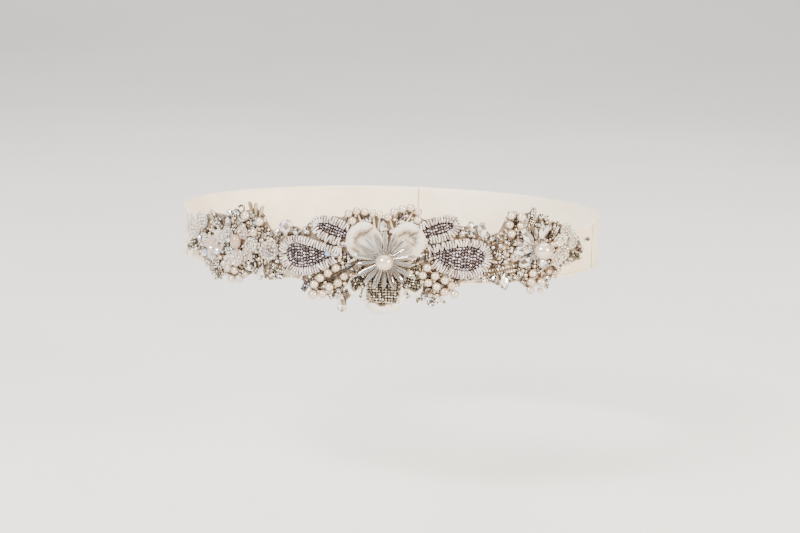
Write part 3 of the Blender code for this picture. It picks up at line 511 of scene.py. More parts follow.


def stone(heap, u, v, lift, width, finish="foiledStone", angle=0.0):
    add(heap, placed(crownForm, (u, v, lift), (width,) * 3, angle), finish, *crownPaintedReflections, False)
    add(heap, placed(cupForm, (u, v, lift), (width,) * 3, angle), "platedCup", 0.5, 0.3, False)
    for k in range(4):
        outU, outV = polar(claw["out"] * width, np.radians(angle + 45 + 90 * k))
        place = (u + outU, v + outV, lift + claw["up"] * width)
        add(heap, placed(seedForm, place, (claw["size"] * width,) * 3, 0, 90), "platedCup", 0.8)


# a faceted drop, its height a share of its width, its facets light and dark as painted reflections
def drop(heap, u, v, lift, width, length, angle, finish="cutGlass", flat=0.8, tone=0.6):
    shape = placed(dropForm, (u, v, lift + width / 2), (length, width, width * flat), angle, 0, 22)
    add(heap, shape, finish, tone, 0.6, False)


# a moulded sequin: a shallow cup with eight ribs, height = rise r^2 + ribs cos(8 a) r, edge scalloped
discRadius = np.array([0.0, 0.2, 0.45, 0.7, 0.9, 1.0, 1.0, 0.9, 0.6, 0.3, 0.0])
discFace = np.array([1, 1, 1, 1, 1, 1, 0, 0, 0, 0, 0])
discAngle = np.linspace(0, 2 * np.pi, 32, endpoint=False)
scallop = 1 + 0.05 * np.cos(8 * discAngle)
discPoints = np.stack((
    0.5 * np.maximum(discRadius, 0.02)[:, None] * np.cos(discAngle) * scallop,
    0.5 * np.maximum(discRadius, 0.02)[:, None] * np.sin(discAngle) * scallop,
    0.12 * (discRadius ** 2)[:, None] + 0.035 * np.cos(8 * discAngle) * discRadius[:, None]
    + 0.05 * discFace[:, None],
), -1)
discForm = skin(discPoints)


# the sequin stretched to length and width
def disc(heap, u, v, lift, length, width, finish="blushSequin", tilt=0.0, angle=0.0):
    tone = chance.uniform(0.4, 0.9)
    size = (length, width, 0.5 * (length + width))
    add(heap, placed(discForm, (u, v, lift), size, angle, tilt), finish, tone, 0.15)


# a post of thread that carries a raised bead
def post(heap, u, v, top):
    add(heap, cordShape(((u, v, seat), (u + 0.01, v, (seat + top) / 2), (u, v, top)), 0.7), "creamThread")


# evenly spaced points along a line of corners, and how far along it each one lies
def alongLine(places, count):
    path = np.array(places, float)
    at = np.concatenate(([0], np.cumsum(np.linalg.norm(np.diff(path, axis=0), axis=1))))
    steps = np.linspace(0, at[-1], count)
    return steps, np.stack([np.interp(steps, at, path[:, k]) for k in range(path.shape[1])], -1)


# a thin cord from place to place
def threadThrough(heap, places, radius=0.28, finish="creamThread"):
    add(heap, cordShape(alongLine(places, 8 * len(places))[1], radius), finish)


# a leaf of silver seeds: rows across a padded oval, height = rise (1 - (x^2 + y^2))
def seedLeaf(heap, u, v, width, length, angle, finish="warmSilver", size=1.5, rise=2.6):
    x, y = np.meshgrid(
        np.arange(-0.5 * length + 0.7, 0.5 * length - 0.3, size * 0.95),
        np.arange(-3, 4) * size * 0.93, indexing="ij",
    )
    x, y = x.ravel() + chance.normal(0, 0.08, x.size), y.ravel() + chance.normal(0, 0.08, x.size)
    reach = 0.56 * width * (1 - 0.55 * np.abs(2 * x / length) ** 1.5)
    inside = np.abs(y) < reach - 0.2 * size
    x, y, reach = x[inside], y[inside], reach[inside]
    lift = seat + 0.6 + rise * (1 - (y / reach) ** 2 * 0.6) * (1 - (2 * x / length) ** 2 * 0.6) - 0.9
    c, s = np.cos(np.radians(angle)), np.sin(np.radians(angle))
    # a dark pad under the seeds: painted shade in the gaps between them
    pad = placed(ballForm, (u, v, seat + 0.5 * rise), (length * 0.94, width * 0.8, rise * 0.95), angle)
    add(heap, pad, "darkPadding", 0.6)
    for px, py, pz in zip(x, y, lift):
        place = (u + px * c - py * s, v + px * s + py * c, pz)
        seed(heap, *place, size, finish, angle + chance.normal(90, 14))


# rows of a table in which a word stands before the rows that it belongs to
def labelled(table):
    for entry in table:
        if isinstance(entry, str):
            word = entry
        else:
            yield (word, *entry)


# beads in the order they are strung: kind, then place, width and, where they differ, length, angle
# and rise over the cloth
kindRise = {"drop": 0.2, "dagger": 0.2}
strings = {
    "pearls_lower_left_outer": (
        "pearl", (-27.2, -5.2, 5), (-31.7, -8.3, 5), (-36.2, -11.3, 5), (-39.7, -15.3, 5),
        (-40.4, -21.4, 5.6),
    ),
    "pearls_lower_left_inner": (
        "pearl", (-22.6, -9.4, 5), (-26, -13.5, 5), (-30.9, -16.2, 5), (-34.8, -20.6, 5),
    ),
    "pearls_lower_right_outer": (
        "pearl", (23.8, -3.2, 5), (28.5, -8, 5), (33.9, -10.6, 5), (38, -13.6, 5), (39.7, -18.7, 5),
    ),
    "pearls_lower_right_inner": (
        "pearl", (21.4, -7.6, 4.8), (24.6, -12, 4.8), (29.4, -14.2, 5), (34, -17.4, 5),
    ),
    "pearls_top_left": (
        "pearl", (-18.6, 22.9, 4.6), (-20.8, 27, 4.6), (-16.3, 28.5, 4.6), (-11.7, 28.4, 4.6),
    ),
    "pearls_top_middle": (
        "pearl", (-7.2, 27.6, 3.6, 5, 80), (-3.3, 26.8, 3.6, 5, 95), (1.3, 25.6, 4.6), (4.6, 29, 4.6),
    ),
    "pearls_top_right": ("pearl", (9.2, 30.6, 4.6), (13.8, 31.4, 4.6), (18, 29.2, 4.6), (17.8, 24.6, 4.6)),
    "seed_stem_top": ("pearl", (9.4, 25.6, 2.6, 6.6, 48)),
    "kite_stone": ("drop", (-1.3, 20.4, 4.4, 6.6, 270)),
    "crystals_low_left": (
        "gem", (-29.8, -21.8, 3.8), "drop", (-23.4, -25, 6, 10.5, 270), "gem", (-25.8, -18.6, 3.2),
        (-22.7, -16.9, 3.2),
    ),
    "leaf_tip_low_left": ("leaf", (-45.2, -16.9, 4.4, 8.6, 250)),
    "crystals_low_right": (
        "drop", (20, -22.6, 4.4, 4.8, 90), (25.2, -17.8, 4.6, 5.6, 120), (31.6, -22.4, 3.8, 7.4, 160),
        "gem", (26.6, -24, 4.8),
    ),
    "stones_inner_left": (
        "gem", (-62.8, 13.2, 4.6), "drop", (-56.4, 17.4, 7.6, 8.4, 84), "gem", (-51.4, 14.3, 4),
        (-46.4, 15.5, 4.4),
    ),
    "sequin_flower": ("disc", (-68, 1.6, 11.6, 11.6, 0, 0.2)),
    "stones_low_left": (
        "gem", (-60.6, -12.2, 4.8), (-66, -11.6, 4.8), "drop", (-72, -11.6, 5.4, 8.6, 260), "gem",
        (-79.6, -7.6, 8),
    ),
    "discs_left": (
        "disc", (-126.6, 7.6, 13, 13, 0, 1.4), (-116.6, 14.4, 10.5, 10.5, 0, 2.2),
        (-116.4, 2.2, 8.4, 8.4, 0, 0.8),
    ),
    "leaf_upper_left_side": ("leaf", (-105.8, 15.2, 6, 16, 314)),
    "stones_upper_left_side": ("gem", (-95.8, 20.6, 4.6), (-90.6, 21.8, 4.6), (-88, 16.9, 4.2)),
    "pearls_upper_left_side": (
        "pearl", (-83.4, 20.8, 5.4), "gem", (-79.2, 16.6, 4), "pearl", (-73.9, 18.2, 5.2),
        (-77.6, 11.6, 5.2),
    ),
    "daggers_left_side": (
        "dagger", (-80.4, 25.8, 2.4, 7.4, 108), (-77, 25.2, 2.4, 7.6, 92), (-73.4, 24.4, 2.4, 7.2, 72),
    ),
    "blush_bead": ("pearl", (-88.8, 5, 6.2, 8.4, 90, 1.4)),
    "petals_left_side": (
        "disc", (-79.6, 4, 8.4, 8.4, 0, 0.6), (-86.4, -4.4, 8.4, 8.4, 0, 0.4), "gem", (-96.6, -1.6, 5),
        (-97, 5.8, 5.4),
    ),
    "beads_left_side": ("pearl", (-115.2, -5.4, 4.6), (-109.6, -2.2, 4.6), (-104.2, -2.8, 4.6)),
    "leaf_lower_left_side": ("leaf", (-105.6, -13.6, 9.6, 15, 280)),
    "pearls_lower_left_side": (
        "pearl", (-95.4, -11.6, 5), (-90.4, -12.4, 5), (-87.4, -17, 5), (-92.8, -17.8, 4.8),
    ),
    "leaf_tip_left_side": ("leaf", (-130, -3.4, 4.4, 13, 205)),
    "crystals_right": (
        "gem", (44.6, 16.9, 4.2), "drop", (49, 20, 4.4, 8, 125), (54.4, 18.2, 6, 10, 95), "gem",
        (60.6, 13.8, 4.6),
    ),
    "seed_leaf_right": ("leaf", (64, 4.8, 3.6, 8, 75), "pearl", (68.4, 7.4, 3), (70.6, 3.2, 3)),
    "stones_low_right": (
        "gem", (57.8, -10.8, 4.8), (63.6, -10.9, 4.8), "drop", (69, -12.4, 5.2, 10, 270), "gem",
        (74.9, -10.6, 4.8), (79.6, -8.6, 4.4),
    ),
    "pearls_upper_right_side": (
        "pearl", (78.4, 25, 5.6), (72, 26, 4.8), (71.2, 20.8, 4.8), (72.6, 15.6, 4.8),
    ),
    "leaf_upper_right_side": ("leaf", (86.2, 24.6, 6, 11.6, 80)),
    "leaf_fan_right_side": (
        "leaf", (101.8, 15.4, 4.8, 12.6, 60), "gem", (96.6, 23, 3.4), (92.6, 24.2, 3.6),
    ),
    "discs_right": (
        "disc", (110.6, 14.6, 9.6, 9.6, 0, 0.8), (116.6, 7.4, 8.4, 8.4, 0, 0.4),
        (108.6, 1.4, 9.8, 9.8, 0, 0.6),
    ),
    "leaf_tip_right_side": ("leaf", (121.6, -1.6, 4.2, 10.6, 330)),
    "seed_loop_right": (
        "bend", (101.4, -4.4, 2.2, 0, 0), (105.4, -6.2, 2.2, 0, 0), (106.8, -9.8, 2.2, 0, 0),
        (104.8, -13, 2.2, 0, 0), "gem", (99.6, -13.2, 3.6), (98.6, -17.4, 3.6),
    ),
    "pearls_lower_right_side": (
        "pearl", (87.2, -8.6, 4.8), (86.4, -13.7, 5), (86, -18.6, 4.6), (93, -14.4, 5.4),
    ),
}
# filled up to kind, u, v, width, length, angle and rise
for node, table in strings.items():
    strings[node] = [
        (*row, *(row[3], 0, kindRise.get(row[0], 0))[len(row) - 4:]) for row in labelled(table)
    ]

# what each kind of bead is made of, and the strings that differ
kindFinish = {"pearl": "ivoryPearl", "gem": "foiledStone", "drop": "cutGlass", "disc": "blushSequin",
              "dagger": "creamBugle", "leaf": "warmSilver"}
stringFinish = {
    "blush_bead": {"pearl": "blushBead"},
    "crystals_low_left": {"drop": "smokedStone"}, "crystals_low_right": {"drop": "smokedStone"},
    "beads_left_side": {"pearl": "auroraStone"}, "leaf_tip_low_left": {"leaf": "silverLined"},
    "leaf_tip_left_side": {"leaf": "smokySeed"}, "leaf_tip_right_side": {"leaf": "smokySeed"},
    "stones_low_right": {"gem": "smokedStone"}, "stones_low_left": {"gem": "smokedStone"},
    "discs_left": {"disc": "clearSequin"}, "discs_right": {"disc": "clearSequin"},
    "petals_left_side": {"disc": "clearSequin"},
}
sequinRing = {"radius": 3.4, "size": (5.6, 5.2)}
# rings of seeds on a disc: rise and radius as shares of its length, count, size
discRings = ((0.1, 0.2, 6, 1.6), (0.14, 0.39, 11, 1.7))


# seeds in a ring round a place
def seedRing(heap, u, v, lift, radius, count, size, finish):
    for k in range(count):
        at = 2 * np.pi * (k + 0.3) / count
        outU, outV = polar(radius, at)
        seed(heap, u + outU, v + outV, lift, size, finish, np.degrees(at), tone=chance.uniform(0.35, 1.0))


# one bead of its kind; a disc carries rings of clear seeds round a tiny pearl
def beadForm(heap, finish, kind, u, v, width, length, angle, rise):
    lift = seat + rise
    if kind == "pearl":
        if finish == "auroraStone":  # faceted, nearly white with faint colour
            add(heap, placed(ballForm, (u, v, lift + width / 2), (width,) * 3), finish, 0.5, 0.2, False)
        else:
            pearl(heap, u, v, lift, width, length, angle, finish)
    elif kind == "gem":
        stone(heap, u, v, lift, width, finish, chance.uniform(0, 45))
    elif kind == "drop":
        drop(heap, u, v, lift, width, length, angle, finish)
    elif kind == "dagger":
        add(heap, placed(daggerForm, (u, v, lift + width / 2), (length, width, width), angle), finish,
            0.4, 0.5, False, 10)
    elif kind == "disc":
        disc(heap, u, v, lift, length, length, finish, chance.uniform(-8, 8), chance.uniform(0, 45))
        for up, out, count, size in discRings:
            seedRing(heap, u, v, lift + up * length, out * length, count, size, "clearSequin")
        pearl(heap, u, v, lift + 0.06 * length, 2.2, tone=1.0)
        if rise > 0.7:
            post(heap, u, v, lift + 0.4)
    elif kind == "leaf":
        seedLeaf(heap, u, v, width, length, angle, finish)


for node, rows in strings.items():
    heap = newHeap()
    for row in rows:
        kind, u, v, width, length, angle, rise = row
        if node == "seed_stem_top":
            seedLeaf(heap, u, v, 3.2, length, angle, "silverLined", 1.4, 1.6)
        elif kind != "bend":
            beadForm(heap, stringFinish.get(node, {}).get(kind, kindFinish[kind]), *row)
    if len(rows) > 1:
        threadThrough(heap, [(row[1], row[2], seat + row[6] + 0.28 * row[3]) for row in rows])
    if node == "seed_loop_right":  # a curl of tiny white beads on wire
        curl = np.array([row[1:3] for row in rows if row[0] == "bend"])
        at = np.linspace(0, 1, 12)
        bow = [np.interp(at, np.linspace(0, 1, len(curl)), curl[:, k]) for k in (0, 1)]
        for u, v in zip(*bow):
            pearl(heap, u, v, seat + 0.5, 2.0, tone=1.0)
    if node == "sequin_flower":  # six more blush sequins round silver beads
        for at in range(15, 375, 60):
            outU, outV = polar(sequinRing["radius"], np.radians(at))
            disc(heap, u + outU, v + outV, seat + 0.5, *sequinRing["size"], "blushSequin", -16, at)
        seedRing(heap, u, v, seat + 2.2, 1.5, 5, 1.7, "silverLined")
        seed(heap, u, v, seat + 2.6, 1.8, "silverLined", 0, stand=90)
    makePiece(pieceName(node), heap, [node])
print("strings of beads made")

# centre flower: cupped satin petals. Columns: name, centre, half sizes, outward side, lip height,
# and slits where the cloth is folded in: from and to, as shares of the half sizes, and depth
petals = (
    ("petal_upper_left", -12, 11.3, 10.3, 11, 138, 3,
     ((-0.14, 0.19, 0.45, 0.70, 1.1), (-0.61, -0.41, -0.23, -0.64, 1.2), (-0.4, 0.1, -0.2, 0.5, 0.5))),
    ("petal_upper_right", 12.7, 11.9, 9.9, 11, 42, 3,
     ((-0.53, 0.22, -0.16, 0.45, 1.1), (0.02, 0.19, 0.54, 0.51, 1.2), (-0.1, 0.02, 0.33, -0.26, 0.8))),
    ("petal_bottom", 0, -20.7, 12.5, 10.2, 270, 1.9, ((-0.6, -0.1, -0.72, -0.5, 0.5),)),
    ("petal_small_left", -16.6, -15.2, 4.1, 6.3, 235, 0.9, ()),
    ("petal_small_right", 17.2, -14.6, 4.9, 5.9, 305, 1.2, ()),
)
petalForm = {"wall": 1.0, "dish": 0.35, "roll": 1.5, "turns": 88}
# rings of a petal from its middle over the lip and back underneath: share, rise, and 1 for the face
petalRings = np.array((
    (0.02, 0, 1), (0.15, 0, 1), (0.28, 0, 1), (0.38, 0.02, 1), (0.45, 0.08, 1), (0.51, 0.24, 1),
    (0.57, 0.55, 1), (0.63, 0.85, 1), (0.69, 1.0, 1), (0.76, 1.02, 1), (0.83, 0.95, 1),
    (0.89, 0.8, 1), (0.94, 0.62, 1), (0.98, 0.4, 1), (1.0, 0.2, 1), (1.0, 0.1, 0.5),
    (0.97, 0.05, 0), (0.9, 0.3, 0), (0.8, 0.7, 0), (0.66, 0.7, 0), (0.45, 0, 0), (0.02, 0, 0),
))

# height = floor + dish + lip * rise * facing^roll, dipped along each slit, with soft radial gathers; the
# fold shade, painted shade in beige to brown, is a ragged ring of share 0.4 in the cup's hollow and a band
# along each slit
for name, u0, v0, halfU, halfV, outward, lip, slits in petals:
    around = np.linspace(0, 2 * np.pi, petalForm["turns"], endpoint=False)
    share, rise, face = (petalRings[:, k:k + 1] for k in range(3))
    edge = 1 + 0.018 * np.cos(3 * around + u0) + 0.012 * np.cos(5 * around + v0)
    facing = (0.5 + 0.5 * np.cos(around - np.radians(outward))) ** petalForm["roll"]
    x, y = share * np.cos(around) * edge, share * np.sin(around) * edge
    waves = np.cos(7 * around + 2 * np.sin(3 * around))
    gathers = 0.2 * waves * np.exp(-((share - 0.5) / 0.14) ** 2)
    ragged = share + 0.035 * waves + 0.03 * np.sin(13 * around + v0)
    fold = np.exp(-(np.maximum(ragged - 0.4, 0.75 * (0.4 - ragged)) / 0.11) ** 2) * facing ** 0.5
    dip = 0 * x
    for x0, y0, x1, y1, depth in slits:
        dx, dy = x1 - x0, y1 - y0
        along = np.clip(((x - x0) * dx + (y - y0) * dy) / (dx * dx + dy * dy), 0, 1)
        away = np.hypot(x - x0 - along * dx, y - y0 - along * dy)
        dip = np.maximum(dip, depth * np.exp(-(away / 0.05) ** 2))
        fold = np.maximum(fold, 0.42 * min(depth, 1) * np.exp(-(away / 0.21) ** 2))
        fold = np.maximum(fold, min(depth, 1) * np.exp(-(away / 0.06) ** 2))
    lift = seat + petalForm["wall"] + petalForm["dish"] + lip * rise * facing
    lift = lift + (gathers * facing - dip) * face - petalForm["wall"] * (1 - face)
    points = np.stack((u0 + halfU * x, v0 + halfV * y, lift), -1)
    heap = newHeap()
    add(heap, skin(points), "petalSatin")
    paintedFoldShades = np.concatenate((fold.ravel(), fold[0].mean(keepdims=True), fold[-1].mean(keepdims=True)))
    piece = makePiece(pieceName(name), heap, [name], fold=paintedFoldShades)
    across = np.roll(points, -1, 1) - points
print("petals made")

# silver beads that fill the lower petals: rows of seeds in an oval, ragged at the inner edge
petalFill = {
    "lift": 1.35, "pad": (-0.3, -16.8), "padSize": (20.4, 16.4, 1.3), "columns": (-9.2, 8.8, 1.72),
    "top": -11.0, "bottom": -21.0, "sag": 4.2, "halfWidth": 10.5, "ragged": (-0.6, 0.9), "row": 1.58,
    "seed": 1.66, "tones": (0.0, 0.72),
}
# place, width, length, direction, seed size and rise of the leaves of smoky seeds beside them
smokyLeaves = ((-15.6, -12.4, 6.2, 9.4, 66, 1.5, 3.0), (16.4, -12.6, 8.0, 11.0, -12, 1.6, 2.6))
fills = newHeap()
lift = seat + petalFill["lift"]
# a dark pad under the seeds: painted shade in the gaps between them
add(fills, placed(ballForm, (*petalFill["pad"], lift), petalFill["padSize"]), "darkPadding", 0.2)
for u in np.arange(*petalFill["columns"]):
    sag = petalFill["sag"] * np.sqrt(max(1 - (u / petalFill["halfWidth"]) ** 2, 0))
    low = petalFill["bottom"] - sag + chance.uniform(*petalFill["ragged"])
    for v in np.arange(petalFill["top"], low, -petalFill["row"]):
        turned = 90 + chance.normal(0, 8)
        place = (u + chance.normal(0, 0.15), v + chance.normal(0, 0.1), lift)
        seed(fills, *place, petalFill["seed"], "warmSilver", turned,
             tone=chance.uniform(*petalFill["tones"]))
for *leaf, size, rise in smokyLeaves:
    seedLeaf(fills, *leaf, "smokySeed", size, rise)
makePiece("petalSeeds", fills)

# burst of clear glass daggers round the large pearl, every second one a little lower; clear is the
# radius that small beads keep off
flower = {"u": 0.0, "v": 0.7, "count": 18, "start": 2.4, "length": 15.2, "shorter": 1.2,
          "width": 3.0, "lift": 4.9, "tilt": -6, "hub": 3.9, "pearl": 9.8, "clear": 13.0}
heap = newHeap()
for k in range(flower["count"]):
    low = k % 2
    length = flower["length"] - flower["shorter"] * low
    at = 360 * (k + 0.5) / flower["count"]
    tilt = 0 if low else flower["tilt"]
    reach, fall = polar(flower["start"] + length / 2, np.radians(tilt))
    outU, outV = polar(reach, np.radians(at))
    place = (flower["u"] + outU, flower["v"] + outV, flower["lift"] - fall)
    size = (length, flower["width"], flower["width"] * 0.8)
    # light and dark streaks along each dagger's sides: painted reflections
    add(heap, placed(daggerForm, place, size, at, tilt), "clearGlass", 0.68, 0.5, False, 10)
    # a dark core inside each dagger: a painted dark streak for the darker look through its glass
    paintedDarkCore = placed(daggerForm, place, (length * 0.86, 0.85, 0.7), at, tilt)
    add(heap, paintedDarkCore, "greyThread", 1.0)
saucer = placed(discForm, (flower["u"], flower["v"], seat + flower["hub"] - 1.2), (9.5, 9.5, 8))
add(heap, saucer, "clearSequin", 0.6)
seedRing(heap, flower["u"], flower["v"], seat + flower["hub"] - 0.6, 4.6, 16, 1.6, "clearGlass")
makePiece("burst", heap, ["burst"])
heap = newHeap()
pearl(heap, flower["u"], flower["v"], seat + flower["hub"] + 0.3, flower["pearl"], tone=0.9)
makePiece("pearlCentre", heap, ["pearl_centre"])

# padded leaves: rims of pale seeds wrapped across a cord, round a filling of dark seeds in rows.
# upper and lower are the shares of the length from which the rim shows on either side
leafColumns = ("name", "rootU", "rootV", "tipU", "tipV", "width", "bow", "slowness", "upper", "lower",
               "pitch")
leaves = (
    ("leaf_lower_right", 20, 4.7, 61.4, 1.2, 23.4, -1, 1, 0.12, 0.205, 1.78),
    ("leaf_upper_right", 10, 13.4, 42.6, 22.8, 15.2, 0, 1, 0.36, 0.47, 1.6),
    ("leaf_lower_left", -20, 4, -61.4, 1, 23.2, -1.6, 2, 0.12, 0.22, 1.76),
    ("leaf_upper_left", -8, 9.8, -43, 21, 15.2, 0, 1, 0.44, 0.50, 1.58),
)
leaves = [dict(zip(leafColumns, row)) for row in leaves]
# crystals at the root of the lower left one, the first with a blue glint: place, rise, size, finish, angle
rootCrystals = ((-32.5, 3.0, 0.6, 3.4, "auroraStone", 10), (-28.2, 2.6, 0.4, 3.8, "foiledStone", 30))
rim = {"width": 4.5, "height": 3.9, "spacing": 1.52, "bead": 1.16, "beadLength": 1.4, "beadsAcross": 6,
       "lean": 0.3, "tones": (0.25, 0.85), "toneSpread": 0.16}
# seed and across are shares of the pitch, dome of the height, start of the way to where the rim starts
fill = {"height": 1.9, "seed": 0.97, "across": 0.96, "dome": 0.78, "start": 0.55, "tones": (0.2, 0.94)}


# half width as a share of the widest: sin t * sin(t/2)^slowness, where share = (1 - cos t) / 2
def leafHalf(share, slowness):
    t = np.arccos(1 - 2 * np.clip(share, 0, 1))
    whole = np.linspace(0, np.pi, 120)
    widest = np.max(np.sin(whole) * np.sin(whole / 2) ** slowness)
    return np.sin(t) * np.sin(t / 2) ** slowness / widest


# doming of a leaf's filling: 0.5 + 0.5 sin(pi * share of the way along it), low at both ends
def doming(share, shares):
    return 0.5 + 0.5 * np.sin(np.pi * min(max((share - shares[0]) / np.ptp(shares), 0.1), 0.9))


# a leaf's root, its direction from there and its length
def leafAxis(leaf):
    root, tip = np.array((leaf["rootU"], leaf["rootV"])), np.array((leaf["tipU"], leaf["tipV"]))
    length = np.linalg.norm(tip - root)
    return root, (tip - root) / length, length


# flat place at a share of the leaf's length, a distance to the side of its bowed axis
def leafPlace(leaf, share, side):
    root, ahead, length = leafAxis(leaf)
    across = np.array((-ahead[1], ahead[0])) * (1 if ahead[0] > 0 else -1)
    side = side + leaf["bow"] * np.sin(np.pi * np.minimum(share, 1))
    reach = length - rim["width"] / 2
    return root + np.multiply.outer(share * reach, ahead) + np.multiply.outer(side, across)


for leaf in leaves:
    half = (leaf["width"] - rim["width"]) / 2
    t = np.linspace(np.arccos(1 - 2 * leaf["upper"]), 2 * np.pi - np.arccos(1 - 2 * leaf["lower"]), 400)
    share = (1 - np.cos(t)) / 2
    side = half * leafHalf(share, leaf["slowness"]) * np.where(t < np.pi, 1, -1)
    line = np.array([leafPlace(leaf, s, d) for s, d in zip(share, side)])
    at = np.concatenate(([0], np.cumsum(np.linalg.norm(np.diff(line, axis=0), axis=1))))
    wraps = np.linspace(0, at[-1], int(at[-1] / rim["spacing"]) + 1)
    middle = np.stack([np.interp(wraps, at, line[:, k]) for k in (0, 1)], -1)
    ahead = np.gradient(middle, axis=0)
    ahead /= np.linalg.norm(ahead, axis=1)[:, None]
    heap = newHeap()
    core = seat + rim["height"] / 2
    # the cord under the wraps, coloured dark as painted shade in the gaps between the beads
    pad = cordShape(np.column_stack((middle, np.full(len(middle), core))), rim["width"] / 2 - 1.05, 12)
    pad[0][:, 2] = seat + rim["height"] / 2 + (pad[0][:, 2] - seat - rim["height"] / 2) * 0.85
    add(heap, pad, "blushPadding")
    # the beads of a wrap arch over the cord: across = cos a, height = sin a
    for (u, v), (du, dv) in zip(middle, ahead):
        lean = chance.normal(0, rim["lean"])
        width = (rim["width"] / 2 - 0.45) * chance.uniform(0.95, 1.05)
        height = rim["height"] / 2 - 0.5
        facing = np.degrees(np.arctan2(du, -dv)) + 6 * lean
        wrapTone = chance.uniform(*rim["tones"])
        for a in np.radians(np.linspace(-6, 186, rim["beadsAcross"])):
            place = (u - dv * width * np.cos(a) + du * lean * np.cos(a),
                     v + du * width * np.cos(a) + dv * lean * np.cos(a), core + height * np.sin(a))
            steep = np.degrees(np.arctan2(-height * np.cos(a), -width * np.sin(a)))
            size = (rim["beadLength"], rim["bead"], rim["bead"])
            add(heap, placed(seedForm, place, size, facing, steep), "blushSeed",
                np.clip(wrapTone + chance.normal(0, rim["toneSpread"]), 0, 1))
    node = leaf["name"] + "_rim"
    makePiece(pieceName(node), heap, [node])

    # filling: seeds in rows across the leaf, over a pad coloured dark as painted shade in the gaps; height
    # falls off towards the rim
    heap = newHeap()
    length = np.hypot(leaf["tipU"] - leaf["rootU"], leaf["tipV"] - leaf["rootV"]) - rim["width"] / 2
    inset = rim["width"] / 2 + 0.2
    start = max(leaf["upper"], leaf["lower"]) * fill["start"]
    shares = np.arange(start, 1 - inset / length + 0.012, leaf["pitch"] / length)
    room = half * leafHalf(shares, leaf["slowness"]) - inset
    shares, room = shares[room > 0.4], room[room > 0.4]
    ringAngle = np.linspace(0, 2 * np.pi, 12, endpoint=False)
    pad = []
    for s, r in zip(shares, room):
        place = leafPlace(leaf, s + 0 * ringAngle, (r + 0.7) * np.cos(ringAngle))
        dome = fill["height"] * fill["dome"] * doming(s, shares)
        pad.append(np.column_stack((place, seat + 0.06 + dome * np.maximum(np.sin(ringAngle), 0))))
    add(heap, skin(np.array(pad)), "darkPadding", 0.2)
    turned = np.degrees(np.arctan2(leaf["tipV"] - leaf["rootV"], leaf["tipU"] - leaf["rootU"]))
    for s, r in zip(shares, room):
        across = fill["across"] * leaf["pitch"]
        count = max(int(2 * r / across), 1)
        sides = (np.arange(count) - (count - 1) / 2) * min(2 * r / count, across * 1.1)
        swell = doming(s, shares)
        for d in sides:
            u, v = leafPlace(leaf, s + chance.normal(0, 0.003), d + chance.normal(0, 0.08))
            bulge = np.sqrt(max(1 - (d / (r + 1.2)) ** 2, 0))
            lift = seat + fill["height"] * fill["dome"] * swell * bulge - 0.35
            seed(heap, u, v, lift, fill["seed"] * leaf["pitch"], "silverLined",
                 turned + 90 + chance.normal(0, 8), tone=chance.uniform(*fill["tones"]))
    if leaf["name"] == "leaf_lower_left":
        for u, v, rise, *crystal in rootCrystals:
            stone(heap, u, v, seat + rise, *crystal)
    node = leaf["name"] + "_fill"
    makePiece(pieceName(node), heap, [node])
print("leaves made")

# right cluster: clear briolettes out from under a large pearl
briolettes = {"u": 90.0, "v": 5.3, "start": 3.6, "hub": 2.9, "pearl": 10.6, "clear": 5.0}
# direction, reach and width of each
rays = ((180, 15.8, 5.6), (133, 17.0, 6.0), (157, 16.6, 4.4), (78, 14.8, 5.4), (218, 15.0, 5.8),
        (290, 11.8, 4.6))
heap = newHeap()
for at, reach, width in rays:
    length = reach - briolettes["start"]
    outU, outV = polar(briolettes["start"] + length / 2, np.radians(at))
    place = (briolettes["u"] + outU, briolettes["v"] + outV, seat + 0.2)
    drop(heap, *place, width, length, at, "cutGlass", 0.72, 0.6)
seedRing(heap, briolettes["u"], briolettes["v"], seat + 1.6, 5.0, 14, 1.7, "warmSilver")
saucer = placed(discForm, (briolettes["u"], briolettes["v"], seat + 1.2), (10, 10, 8))
add(heap, saucer, "clearSequin", 0.6)
makePiece("briolettesRight", heap, ["briolettes_right"])
heap = newHeap()
pearl(heap, briolettes["u"], briolettes["v"], seat + briolettes["hub"] + 0.3, briolettes["pearl"], tone=0.8)
makePiece("pearlRight", heap, ["pearl_right"])

